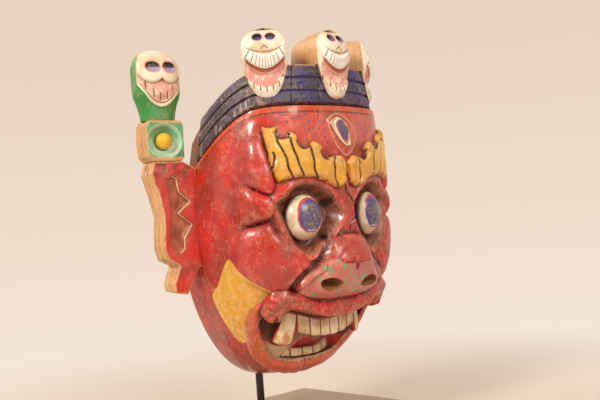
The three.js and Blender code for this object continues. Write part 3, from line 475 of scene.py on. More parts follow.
# Stage: pale floor that fades into the backdrop, soft lamps, and the camera at the photograph's angle
stage = dict(
    floorReach=6.0, fadeStart=0.2, fadeEnd=0.9, glow=0.45, worldLight=0.38, away=990.0,
    bearing=math.degrees(math.atan2(0.682, 0.731)), roll=4.0, lens=54.0, sensor=36.0, clip=(0.05, 50.0),
    principal=(-44.1, 21.1), frameWidth=600,
)
lamps = [
    ("keyLamp", (-1.7, -0.3, 1.25), 0.5, 24.0, (255, 246, 236)),
    ("frontLamp", (-0.1, -1.9, 1.3), 0.9, 20.0, (255, 241, 226)),
    ("backLamp", (-0.8, 1.2, 1.4), 1.0, 10.0, (255, 240, 226)),
]


# The world is an even light for the object, and the backdrop where it is seen or mirrored
def makeWorld():
    world = bpy.data.worlds.new("studio")
    bpy.context.scene.world = world
    world.use_nodes = True
    world.node_tree.nodes.clear()
    building["tree"] = world.node_tree
    path = put("LightPath").outputs
    seen = calc("MAXIMUM", path["Is Camera Ray"], path["Is Glossy Ray"])
    seen = calc("MAXIMUM", seen, path["Is Transmission Ray"])
    ray = put("SeparateXYZ", {0: put("TexCoord").outputs["Generated"]})
    light = put("Background", dict(Color=(255, 246, 236), Strength=stage["worldLight"]))
    view = put("Background", dict(Color=useGroup(backdrop, Climb=ray.outputs[2])["Colour"], Strength=1.0))
    both = put("MixShader", {0: seen, 1: light.outputs[0], 2: view.outputs[0]})
    put("OutputWorld", {0: both.outputs[0]})


def makeFloor():
    reach = stage["floorReach"]
    corners = [(-reach, -reach, 0), (reach, -reach, 0), (reach, reach, 0), (-reach, reach, 0)]
    mesh = bpy.data.meshes.new("floor")
    mesh.from_pydata(corners, [], [(0, 1, 2, 3)])
    newMaterial("floorPaper", Roughness=0.9)
    fill(building["shader"], dict(Base_Color=mix(noise(1.2, 2.0), (244, 228, 212), (249, 236, 222))))
    ray = put("SeparateXYZ", {0: put("NewGeometry").outputs["Incoming"]})
    far = useGroup(backdrop, Climb=times(ray.outputs[2], -1.0))["Colour"]
    direct = put("LightPath").outputs["Is Camera Ray"]
    strength = calc("MULTIPLY_ADD", direct, 1.0 - stage["glow"], stage["glow"])
    glow = put("Emission", dict(Color=far, Strength=strength))
    away = put("VectorMath", {0: objectPlace()}, operation="LENGTH").outputs["Value"]
    fade = mask(away, stage["fadeStart"], stage["fadeEnd"])
    both = put("MixShader", {0: fade, 1: building["shader"].outputs[0], 2: glow.outputs[0]})
    fill(building["tree"].get_output_node("ALL"), {0: both.outputs[0]})
    mesh.materials.append(building["material"])
    addObject("floor", mesh)


def makeLamps():
    for name, place, size, power, tone in lamps:
        lamp = bpy.data.lights.new(name, "AREA")
        lamp.shape, lamp.size, lamp.energy, lamp.color = "DISK", size, power, colour(tone)[:3]
        holder = addObject(name, lamp)
        holder.location = place
        aim = Vector((0, 0, horizon * mm)) - Vector(place)
        holder.rotation_euler = aim.to_track_quat("-Z", "Y").to_euler()


def makeCamera():
    lens = bpy.data.cameras.new("camera")
    lens.lens, lens.sensor_width = stage["lens"], stage["sensor"]
    lens.clip_start, lens.clip_end = stage["clip"]
    lens.shift_x = -stage["principal"][0] / stage["frameWidth"]
    lens.shift_y = stage["principal"][1] / stage["frameWidth"]
    camera = addObject("camera", lens)
    turn = math.radians(stage["bearing"])
    back = Vector((-math.sin(turn), -math.cos(turn), 0))
    camera.location = Vector((0, maskBack * mm, horizon * mm)) + back * stage["away"] * mm
    facing = (-back).to_track_quat("-Z", "Y")
    camera.rotation_mode = "QUATERNION"
    camera.rotation_quaternion = facing @ Quaternion((0, 0, 1), -math.radians(stage["roll"]))
    bpy.context.scene.camera = camera


bpy.context.scene.view_settings.view_transform = "Standard"
makeWorld()
makeFloor()
makeLamps()
makeCamera()
print("stage ready")

# Face. Across is the distance round the head from the nose line, rise is above the eye line.
face = dict(
    columns=280, lowRows=170, highRows=92, ledgeRows=4, topSpreads=(1, 0.9, 0.75, 0.55, 0.3, 0.0),
    browHeight=6.0, browGroove=1.8, noseHeight=17.0, socketDepth=14.0,
    eyeAcross=49.56, eyeHalfWidth=20.5, eyeHalfHeight=23.0,
)
browOutline = [
    (90, 91), (87, 88), (82, 87), (77, 88), (76, 86), (78, 82), (76, 79), (72, 77), (68, 78), (66, 81),
    (66, 83), (63, 82), (58, 79), (58, 74), (56, 70), (53, 67), (49, 68), (43, 71), (42, 73), (39, 73),
    (35, 71), (30, 66), (34, 62), (32, 58), (27, 56), (22, 57), (15, 59), (8, 59), (5, 56), (2, 52),
    (1.5, 41), (3, 33), (10, 28), (15, 27), (24, 30), (31, 34), (42, 38), (55, 39), (65, 38), (77, 35),
    (79, 38), (81, 47), (83, 53), (84, 62), (86, 72), (88, 82),
]
browGrooves = [
    [(77, 80), (76, 73), (72, 64), (69, 56), (68, 48), (64, 38)],
    [(66, 83), (65, 75), (63, 66), (60, 58), (58, 50), (54, 40)],
    [(46, 69), (45, 63), (43, 54), (43, 45), (39, 37)], [(16, 58), (19, 52), (18, 45), (19, 37), (15, 28)],
    [(80, 63), (79, 58), (80, 53), (81, 49)], [(77, 81), (75, 77), (72, 76), (67, 77)],
    [(59, 73), (56, 68), (52, 66), (46, 68)], [(33, 65), (33, 60), (30, 56), (26, 55)],
]
socketOutline = [
    (80, 14), (69, 24), (62, 31), (51, 34), (39, 33), (29, 28), (18, 19), (9, 6), (11, -4), (20, -16),
    (31, -28), (44, -36), (53, -35), (66, -24), (75, -4),
]
cheekOutline = [
    (124, -21), (118, -14), (110, -8), (102, -5), (93, -3), (86, -3), (79, -14), (68, -27), (56, -39),
    (45, -44), (35, -42), (37, -49), (48, -57), (60, -67), (73, -70), (88, -70), (104, -61), (114, -52),
    (124, -37),
]
sideLobe = [
    (84, 21), (82, 12), (84, 2), (93, -2), (103, -4), (115, -3), (123, 8), (119, 24), (107, 33),
    (97, 29), (90, 25),
]
templeLobe = [
    (107, 40), (98, 31), (91, 26), (84, 24), (80, 31), (80, 44), (86, 66), (95, 88), (109, 92),
    (120, 76), (119, 56),
]
patchOutline = [
    (125, -35), (120, -41), (115, -48), (106, -55), (97, -61), (88, -68), (96, -75), (105, -82),
    (111, -89), (116, -98), (116, -106), (119, -119), (129, -120), (136, -114), (146, -92), (152, -72),
    (141, -61), (136, -51), (130, -42),
]
noseOutline = [
    (-10, -19), (-25, -24), (-35, -34), (-47, -46), (-59, -57), (-65, -67), (-60, -76), (-40, -82),
    (0, -85), (40, -82), (60, -76), (65, -67), (59, -57), (47, -46), (35, -34), (25, -24), (10, -19),
]
noseUnder = [(-60, -71), (-60, -58), (-42, -46), (-26, -40), (-20, -43), (-8, -44), (0, -44)]
noseUnderFoot = [(-60, -71), (-48, -76), (-20, -78), (0, -78)]
noseFacet = [(-20, -43), (-23, -40), (-16, -33), (-6, -28), (8, -26), (18, -31), (18, -44), (-8, -43)]
noseNotch = [(-6, -44), (3, -44), (-3, -52)]
foldLine = [
    (18, 26), (14, 17), (10, 8), (11, -4), (17, -13), (27, -26), (34, -36), (43, -45), (55, -51),
    (64, -59), (69, -67),
]
middleLine = [(0, 52), (-2, 40), (-2, 29), (-1, 22), (7, 15), (8, 6), (8, -2), (2, -9), (2, -16)]
upperLipTop = [
    (-100, -87), (-97, -79), (-93, -72), (-89, -68), (-81, -67), (-74, -67), (-68, -70), (-59, -74),
    (-49, -78), (-32, -82), (0, -83),
]
upperLipFoot = [
    (-100, -87), (-96, -93), (-91, -97), (-85, -98), (-79, -96), (-76, -90), (-71, -87), (-65, -88),
    (-54, -94), (-43, -97), (-29, -100), (0, -101),
]
lowerLipInner = [
    (-97, -80), (-100, -88), (-101, -100), (-100, -109), (-98, -118), (-95, -127), (-87, -137),
    (-67, -143), (-47, -145), (0, -146),
]
lowerLipOuter = [
    (-94, -73), (-105, -82), (-111, -89), (-116, -98), (-117, -106), (-119, -120), (-117, -130),
    (-110, -140), (-96, -148), (-77, -154), (-45, -158), (0, -159),
]
lipCrack = [(-13, -141), (-12, -150), (-13, -160)]
thirdOuter = [
    (-20, 95), (-20, 87), (-14, 73), (-5, 63), (4, 59), (14, 67), (19, 77), (17, 86), (10, 92), (0, 98),
    (-10, 100),
]
thirdInner = [(-19, 91), (-16, 86), (-10, 77), (-2, 70), (6, 69), (7, 75), (4, 84), (0, 92), (-9, 96)]
thirdIris = [(-11, 90), (-6, 93), (-1, 90), (3, 83), (2, 74), (-4, 76), (-9, 83)]
thirdArch = [(-21, 95), (-18, 99), (-10, 101), (-3, 98), (5, 93)]
foreheadDots = [
    (84, 99), (76, 95), (70, 99), (66, 102), (61, 96), (66, 92), (54, 97), (48, 99), (49, 89), (44, 92),
    (44, 84), (39, 86), (37, 79), (31, 92), (32, 86), (25, 98), (25, 91), (25, 84), (26, 77), (28, 103),
    (20, 103), (23, 72),
]


def bothSides(line):
    other = [(-u, v) for u, v in line[::-1] if u != 0]
    return list(line) + other


# One outline from an upper and a lower line, each drawn for the right side only
def framed(upper, lower):
    return np.vstack([smoothLine(bothSides(upper)), smoothLine(bothSides(lower))[::-1]])


# Height of the carving above the plain head, and the distances that the paint follows, both in millimetres
def carveFace(signedAcross, rise):
    across = np.abs(signedAcross)

    def ringIn(u, outline, steps=8):
        return insideDistance(u, rise, smoothLine(outline, True, steps))

    def near(u, line):
        return lineDistance(u, rise, smoothLine(line))

    def inside(u, outline):
        return insideDistance(u, rise, outline)

    f = dict(
        brow=inside(across, browOutline), browLine=np.minimum.reduce([near(across, g) for g in browGrooves]),
        socket=ringIn(across, socketOutline), patch=ringIn(across, patchOutline, 4),
        nose=ringIn(signedAcross, noseOutline), under=inside(signedAcross, framed(noseUnder, noseUnderFoot)),
        facet=np.abs(inside(signedAcross, noseFacet)), notch=inside(signedAcross, noseNotch),
        lipUp=inside(signedAcross, framed(upperLipTop, upperLipFoot)),
        lipLow=inside(signedAcross, framed(lowerLipOuter, lowerLipInner)),
        gums=inside(signedAcross, framed(upperLipFoot, lowerLipInner)),
        lipRim=near(signedAcross, bothSides(upperLipFoot)), crack=near(signedAcross, lipCrack),
        fold=near(across, foldLine), midLine=near(signedAcross, middleLine),
        thirdOuter=ringIn(signedAcross, thirdOuter, 4), thirdInner=ringIn(signedAcross, thirdInner, 4),
        thirdIris=ringIn(signedAcross, thirdIris), thirdArch=near(signedAcross, thirdArch),
        dots=np.minimum.reduce([np.hypot(across - u, rise - v) for u, v in foreheadDots]),
    )
    cheek, side, temple = ringIn(across, cheekOutline), ringIn(across, sideLobe), ringIn(across, templeLobe)
    eye = np.hypot((across - face["eyeAcross"]) / face["eyeHalfWidth"], rise / face["eyeHalfHeight"]) - 1
    f["eyeAway"] = eye * face["eyeHalfWidth"]
    pocket = np.exp(-((across - 19) / 5.5) ** 2 - ((rise - 14) / 6.5) ** 2)
    hole = np.exp(-((across - 27) / 4.5) ** 2 - ((rise + 21) / 3.5) ** 2)
    f["pocket"] = np.maximum(pocket, hole)

    grooves = face["browGroove"] * np.exp(-(f["browLine"] / 1.2) ** 2)
    brow = pillow(f["brow"], 3.5) * face["browHeight"] - grooves * ease(f["brow"], 0, 2)
    lobes = 0.8 * np.minimum(f["browLine"], 8) / 8 * ease(f["brow"], 0, 4)
    dip = -face["socketDepth"] * ease(f["socket"], -1.0, 8.5) * ease(eye, 1.6, 0.35)
    dip -= 5.0 * ease(f["socket"], -0.5, 3.0) * (1 - ease(eye, 1.2, 0.4))
    dip -= 6.0 * f["pocket"] * ease(f["socket"], 0, 3)
    lid = 2.6 * np.exp(-((f["socket"] + 3.0) / 2.6) ** 2) * (1 - ease(rise, 25, 36))
    cheekForm = pillow(cheek, 14) * 8.0 * (1 - ease(across, 104, 126)) + 1.5 * ease(cheek, 8, 30)
    sideForm = pillow(side, 11) * 8.0 * (1 - ease(across, 98, 122))
    templeForm = pillow(temple, 11) * 7.0 * (1 - ease(across, 92, 116)) * (1 - ease(rise, 62, 92))
    rising = ease(rise, -84, -58) * (1 - 0.75 * ease(rise, -44, -18))
    widthHere = np.interp(rise, [-84, -60, -40, -18], [52, 52, 36, 20])
    outward = np.clip(across / widthHere, 0, 1)
    nose = pillow(f["nose"], 9) * (4.0 + (face["noseHeight"] - 3.0) * rising * (1 - outward ** 2.4))
    wing = 5.0 * np.exp(-((across - 38) / 12) ** 2 - ((rise + 66) / 11) ** 2) * ease(f["nose"], 0, 6)
    bridge = 4.0 * np.exp(-(across / 9) ** 2) * ease(rise, -24, -6) * (1 - ease(rise, 26, 44))
    lipRound = 9.0 + 3.0 * np.exp(-((across - 86) / 12) ** 2)
    upper = pillow(f["lipUp"], 7) * lipRound
    lower = pillow(f["lipLow"], 6) * 7.5
    third = 1.8 * np.exp(-(f["thirdInner"] / 1.3) ** 2) + 2.6 * pillow(f["thirdIris"] + 3, 9)
    third += 0.9 * np.exp(-(f["thirdOuter"] / 1.1) ** 2)
    forehead = 4.0 * np.exp(-(across / 22) ** 2 - ((rise - 80) / 26) ** 2)
    chisel = 0.9 * handWaves(signedAcross, rise, 46, 3) + 0.45 * handWaves(signedAcross, rise, 15, 5)
    height = np.maximum(brow + lobes, 0) + dip + lid + nose + wing + bridge
    height += np.maximum(np.maximum(cheekForm, sideForm), templeForm) * (1 - ease(f["brow"], -2, 1))
    foldDepth = 0.8 + 5.5 * (1 - ease(rise, -36, -16))
    height -= foldDepth * np.exp(-(f["fold"] / (1.2 + 0.35 * foldDepth)) ** 2)
    height -= 2.6 * np.exp(-(f["midLine"] / 1.5) ** 2) * ease(rise, -18, -12)
    height -= 0.7 * np.exp(-(f["facet"] / 0.8) ** 2) + 1.0 * ease(f["notch"], -0.5, 1.0)
    height = height * (1 - ease(f["lipUp"], -1, 2)) + upper
    height = height * (1 - ease(f["lipLow"], -1, 2)) + lower
    height -= 2.0 * np.exp(-(f["crack"] / 0.8) ** 2) * ease(f["lipLow"], -1, 1)
    height += third + forehead + chisel
    return height, f


# Average over a square of neighbours, for how deep a place lies below what surrounds it
def spreadOut(values, reach):
    for axis in (0, 1):
        padded = np.concatenate([np.repeat(np.take(values, [0], axis), reach + 1, axis), values,
                                 np.repeat(np.take(values, [-1], axis), reach, axis)], axis)
        total = np.cumsum(padded, axis)
        count = values.shape[axis]
        ahead = np.take(total, np.arange(2 * reach + 1, 2 * reach + 1 + count), axis)
        values = (ahead - np.take(total, np.arange(count), axis)) / (2 * reach + 1)
    return values


def faceOuter():
    columns = bearings(face["columns"])
    ledge = levelOf(head["bandRise"])
    levels = np.concatenate([-1 + np.arange(face["lowRows"]) / face["lowRows"],
                             ledge * np.arange(face["highRows"] + 1) / face["highRows"]])
    bearing, level = np.meshgrid(columns, levels)
    base = headPoint(bearing, level)
    height, fields = carveFace(bearing * head["arcRadius"], base[..., 2])
    height = height * ease(-base[..., 1], 0, head["depth"] * 0.2)
    outer = base + headNormal(bearing, level) * height[..., None]
    behind = -head["bandSink"] - head["bandThickness"]
    climbs = ledge + (1 - ledge) * np.arange(face["ledgeRows"]) / face["ledgeRows"]
    rows = [headPoint(columns, climb, behind) for climb in climbs]
    rows += [headPoint(columns, 1, behind, spread=s) for s in face["topSpreads"]]
    extra = np.stack(rows)
    rings = np.concatenate([outer, extra])
    rings[..., 1] = np.minimum(rings[..., 1], 0)

    def both(front, top):
        return np.concatenate([front, np.broadcast_to(top, extra.shape[:2])])

    return ringMesh("faceOuter", rings, dict(
        across=both(bearing * head["arcRadius"], columns * head["arcRadius"]),
        rise=both(base[..., 2], extra[..., 2]), inner=both(np.zeros_like(level), 1),
        below=both((ledge - level) * (head["crownRise"] - head["widestRise"]), 0),
        cavity=both(spreadOut(spreadOut(height, 3), 3) - height, 0)))


def runBack(rings, past=8.0):
    first, last = rings[:, :1].copy(), rings[:, -1:].copy()
    first[..., 1] = past
    last[..., 1] = past
    return np.concatenate([first, rings, last], 1)


# The hollow behind the face, with the scoops of a gouge
def faceHollow():
    columns = bearings(90)
    levels = np.concatenate([np.linspace(-1, 0, 56), np.linspace(0, 1, 40)[1:]])
    bearing, level = np.meshgrid(columns, levels)
    rings = headPoint(bearing, level, inner=True)
    u, v = bearing * head["arcRadius"], rings[..., 2]
    scoops = 0.8 * np.abs(np.sin(u / 9 + np.sin(v / 21))) * np.abs(np.sin(v / 13 + np.sin(u / 17) * 0.7))
    rings = rings + headNormal(bearing, level) * (scoops * ease(-rings[..., 1], 0, 12))[..., None]
    top = np.stack([headPoint(columns, 1, inner=True, spread=s) for s in (0.75, 0.4, 0.0)])
    rings = runBack(np.concatenate([rings, top]))
    return ringMesh("faceHollow", rings, dict(inner=1.0))


# Mouth opening seen from the front, whose corners draw in towards the throat
mouth = dict(
    throat=80.0, back=22.0, front=165.0, draw=0.5, corner=79.06, webStart=42.0, webDepth=66.0, webSlope=0.42,
)
mouthTopHalf = [
    (79.1, -99.6), (77.3, -92.1), (70.8, -99.6), (64.3, -99.6), (60.2, -90.5), (54.3, -88), (40.1, -93),
    (20.1, -98.8),
]
mouthFootHalf = [(79.1, -101.3), (67.9, -117.9), (55.5, -132), (42.5, -139.4), (16.5, -143.6)]
mouthTopLine = [(-x, z) for x, z in mouthTopHalf] + [(0, -100.4)] + mouthTopHalf[::-1]
mouthFootLine = mouthFootHalf + [(-x, z) for x, z in mouthFootHalf[::-1]]


def drawnIn(across, depth):
    back = np.maximum(0, 1 - depth / mouth["throat"])
    return across * (1 - mouth["draw"] * back * (across / mouth["corner"]) ** 2)


# Height of the mouth's upper or lower edge at an across distance and depth
def mouthEdge(top, x, depth):
    across = np.array(x, float)
    for _ in range(6):
        across = across + x - drawnIn(across, depth)
    line = smoothLine(mouthTopLine if top else mouthFootLine, steps=6)
    order = np.argsort(line[:, 0])
    return np.interp(across, line[order, 0], line[order, 1])


# Cuts the mouth in columns: right through in the middle, and down to sloping wood at the corners
def mouthCutter():
    x = np.linspace(-mouth["corner"], mouth["corner"], 161)[:, None]
    corner = mouth["webDepth"] + (mouth["corner"] - np.abs(x)) * mouth["webSlope"]
    back = np.where(np.abs(x) < mouth["webStart"], mouth["back"], corner)
    part, climb = np.linspace(0, 1, 50)[None, :], np.linspace(0, 1, 26)[None, 1:-1]
    out = back + (mouth["front"] - back) * part
    depth = np.concatenate([out, out[:, ::-1], back + 0 * climb], 1)
    top, foot = mouthEdge(True, x, mouth["front"]), mouthEdge(False, x, mouth["front"])
    foot = np.minimum(foot, top - 0.3)
    z = np.concatenate([top + 0 * part, foot + 0 * part, foot + (top - foot) * climb], 1)
    z = z + 0.5 * handWaves(x + depth, z, 22, 9) * ease(top - foot, 1, 6)
    return ringMesh("mouthCutter", grid(x, -depth, z), dict(inner=1.0))


# An oval tube from a place along a direction, its tall axis kept up
def ovalTube(name, place, direction, halfWidth, halfHeight, start, end, sides=64, rows=2):
    direction = np.asarray(direction, float) / np.linalg.norm(direction)
    right = np.cross(direction, [0, 0, 1.0])
    right /= np.linalg.norm(right)
    up = np.cross(right, direction)
    turn = np.linspace(0, math.tau, sides, endpoint=False)
    ring = halfWidth * np.cos(turn)[:, None] * right + halfHeight * np.sin(turn)[:, None] * up
    steps = np.linspace(start, end, rows)[:, None, None]
    return ringMesh(name, np.asarray(place) + ring + steps * direction, dict(inner=1.0))


def eyeFrame(side):
    bearing = side * face["eyeAcross"] / head["arcRadius"]
    level = -head["widestRise"] / (head["chinDrop"] + head["widestRise"]) * 2 / math.pi
    return headPoint(bearing, level), headNormal(np.array(bearing), np.array(level))


def boxMesh(name, low, high):
    x, y, z = np.array([low, high]).T
    rings = np.stack([grid(x[[0, 1, 1, 0]], y[[0, 0, 1, 1]], height) for height in z])
    return ringMesh(name, rings, dict(inner=1.0))


ear = dict(
    height=131.0, topRise=64.0, width=49.0, thickness=24.0, angle=-10.0, seat=105.5, middle=22.5, recess=4.0,
    seatHeight=98.0, dowelShares=(0.25, 0.62), gap=0.3, rounding=1.6,
)
rosette = dict(
    height=40.0, width=42.0, inset=10.0, centreX=32.68, radius=18.6, depth=5.0, floor=0.45, squash=0.87,
)
rosetteMiddle = ear["topRise"] + rosette["height"] / 2
sides = ((-1, "right"), (1, "left"))

# Bores of the pegs and dowels, and what a crown peg's length has below and above the skull's seat
peg = dict(bore=4.3, gap=0.3, crownLength=30.0, lowShare=0.42, highShare=0.58, dowelHalf=11.3, longHalf=48.3)


# From the ear's own frame (+X away from the head) into the mask, on the right or the left side
def earPlaced(points, side):
    p = np.array(points, float)
    turn = math.radians(ear["angle"])
    x, y = -p[..., 0], p[..., 1].copy()
    p[..., 0] = x * math.cos(turn) - y * math.sin(turn) - ear["seat"]
    p[..., 1] = x * math.sin(turn) + y * math.cos(turn) - ear["middle"]
    if side > 0:
        p[..., 0] *= -1
    return p


def movedMesh(mesh, change, flip=False):
    places = change(vertexPlaces(mesh))
    mesh.vertices.foreach_set("co", places.astype(np.float32).ravel())
    if flip:
        mesh.flip_normals()
    mesh.update()
    return mesh


def earSeatCutter(side):
    foot = ear["topRise"] - 0.8 * ear["height"] - ear["gap"]
    deep = ear["thickness"] / 2 + ear["gap"]
    block = boxMesh("earSeat", (0, -deep, foot), (head["halfWidth"], deep, foot + ear["seatHeight"]))
    return movedMesh(block, lambda p: earPlaced(p, side), flip=side < 0)


def earDowelHole(share):
    rise = ear["topRise"] - share * ear["height"]
    half, bore = peg["dowelHalf"], peg["bore"]
    return ovalTube("dowelHole", (0, 0, rise), (1, 0, 0), bore, bore, -half, half, 32)


# A round mesh about an upright axis from (radius, height) rows
def lathed(rows, place=(0, 0), sides=48):
    turn = np.linspace(0, math.tau, sides, endpoint=False)
    radii, heights = np.array(rows, float).T[:, :, None]
    return ringMesh("lathed", grid(place[0] + radii * np.cos(turn), place[1] + radii * np.sin(turn), heights))


def tube(radius, start, end, place=(0, 0), sides=48):
    return lathed([(radius, start), (radius, end)], place, sides)


# Skulls: rings from the jaw to the top of the head, each rise, half width, front and back in shares
crownSkull = dict(
    height=70.0, width=46.0, front=9.0, back=51.0, drop=31.0, angle=42.0, power=2.3, crowding=0.45,
    rings=[
        (0, 0, 0.3, 0.1), (0.03, 0.36, 0.75, 0.15), (0.1, 0.56, 0.95, 0.2), (0.2, 0.7, 1, 0.3),
        (0.3, 0.8, 0.95, 0.45), (0.4, 0.88, 0.95, 0.7), (0.49, 0.95, 1.05, 0.9), (0.58, 1, 1.15, 1),
        (0.66, 1, 1.12, 1), (0.72, 0.99, 1.05, 0.99), (0.77, 0.97, 0.95, 0.98), (0.82, 0.93, 0.8, 0.95),
        (0.89, 0.8, 0.45, 0.86), (0.96, 0.52, -0.1, 0.6), (1, 0, -1, 0.2),
    ],
)
earSkull = dict(
    height=70.0, width=50.0, front=14.0, back=14.0, power=2.3, crowding=0.45,
    rings=[
        (0, 0.7, 0.85, 0.88), (0.1, 0.74, 0.85, 0.9), (0.22, 0.84, 0.85, 0.94), (0.3, 0.93, 0.95, 0.98),
        (0.36, 0.98, 1.08, 1), (0.46, 1, 1.1, 1), (0.56, 1, 1.12, 1), (0.66, 1, 1.1, 1),
        (0.73, 0.99, 1, 0.99), (0.79, 0.95, 0.9, 0.97), (0.85, 0.88, 0.75, 0.9), (0.92, 0.72, 0.5, 0.72),
        (0.97, 0.45, 0.25, 0.4), (1, 0, 0, 0),
    ],
)


# Where a crown skull's peg stands, seen from above
def crownPegPlace(bearing):
    seat = headPoint(bearing, 1.0, -head["bandSink"])
    inward = peg["lowShare"] * (crownSkull["front"] + crownSkull["back"])
    return seat[0] - inward * math.sin(bearing), seat[1] + inward * math.cos(bearing)


crownSkulls = [(name, math.radians(crownSkull["angle"] * turn))
               for name, turn in (("right", -1), ("centre", 0), ("left", 1))]
nostril = dict(across=26.0, shift=-5.0, rise=-59.0, tilt=25.0, halfWidth=12.0, halfHeight=6.6)
eyeball = dict(
    radius=20.5, tallness=46 / 41, dome=15.0, proud=2.0, seat=17.7, pocketHalfWidth=20.9,
    pocketHalfHeight=23.3,
)


def makeFace():
    cutters = [faceHollow(), mouthCutter()]
    tilt = math.radians(nostril["tilt"])
    for side, _ in sides:
        place, direction = eyeFrame(side)
        cutters.append(ovalTube("eyePocket", place, direction, eyeball["pocketHalfWidth"],
                                eyeball["pocketHalfHeight"], -18, 22))
        start = (side * nostril["across"] + nostril["shift"], -head["depth"] * 0.9, nostril["rise"])
        cutters.append(ovalTube("nostril", start, (0, -math.cos(tilt), -math.sin(tilt)), nostril["halfWidth"],
                                nostril["halfHeight"], -32, 32, rows=33))
        cutters.append(earSeatCutter(side))
        for share in ear["dowelShares"]:
            cutters.append(movedMesh(earDowelHole(share), lambda p: earPlaced(p, side), flip=side < 0))
    pegFoot = head["crownRise"] - peg["crownLength"] * peg["lowShare"] - peg["gap"]
    cutters += [tube(peg["bore"], pegFoot, 200.0, crownPegPlace(bearing)) for _, bearing in crownSkulls]
    return carved(faceOuter(), cutters)


faceMesh = makeFace()
for key, values in carveFace(getField(faceMesh, "across"), getField(faceMesh, "rise"))[1].items():
    setField(faceMesh, key, values)


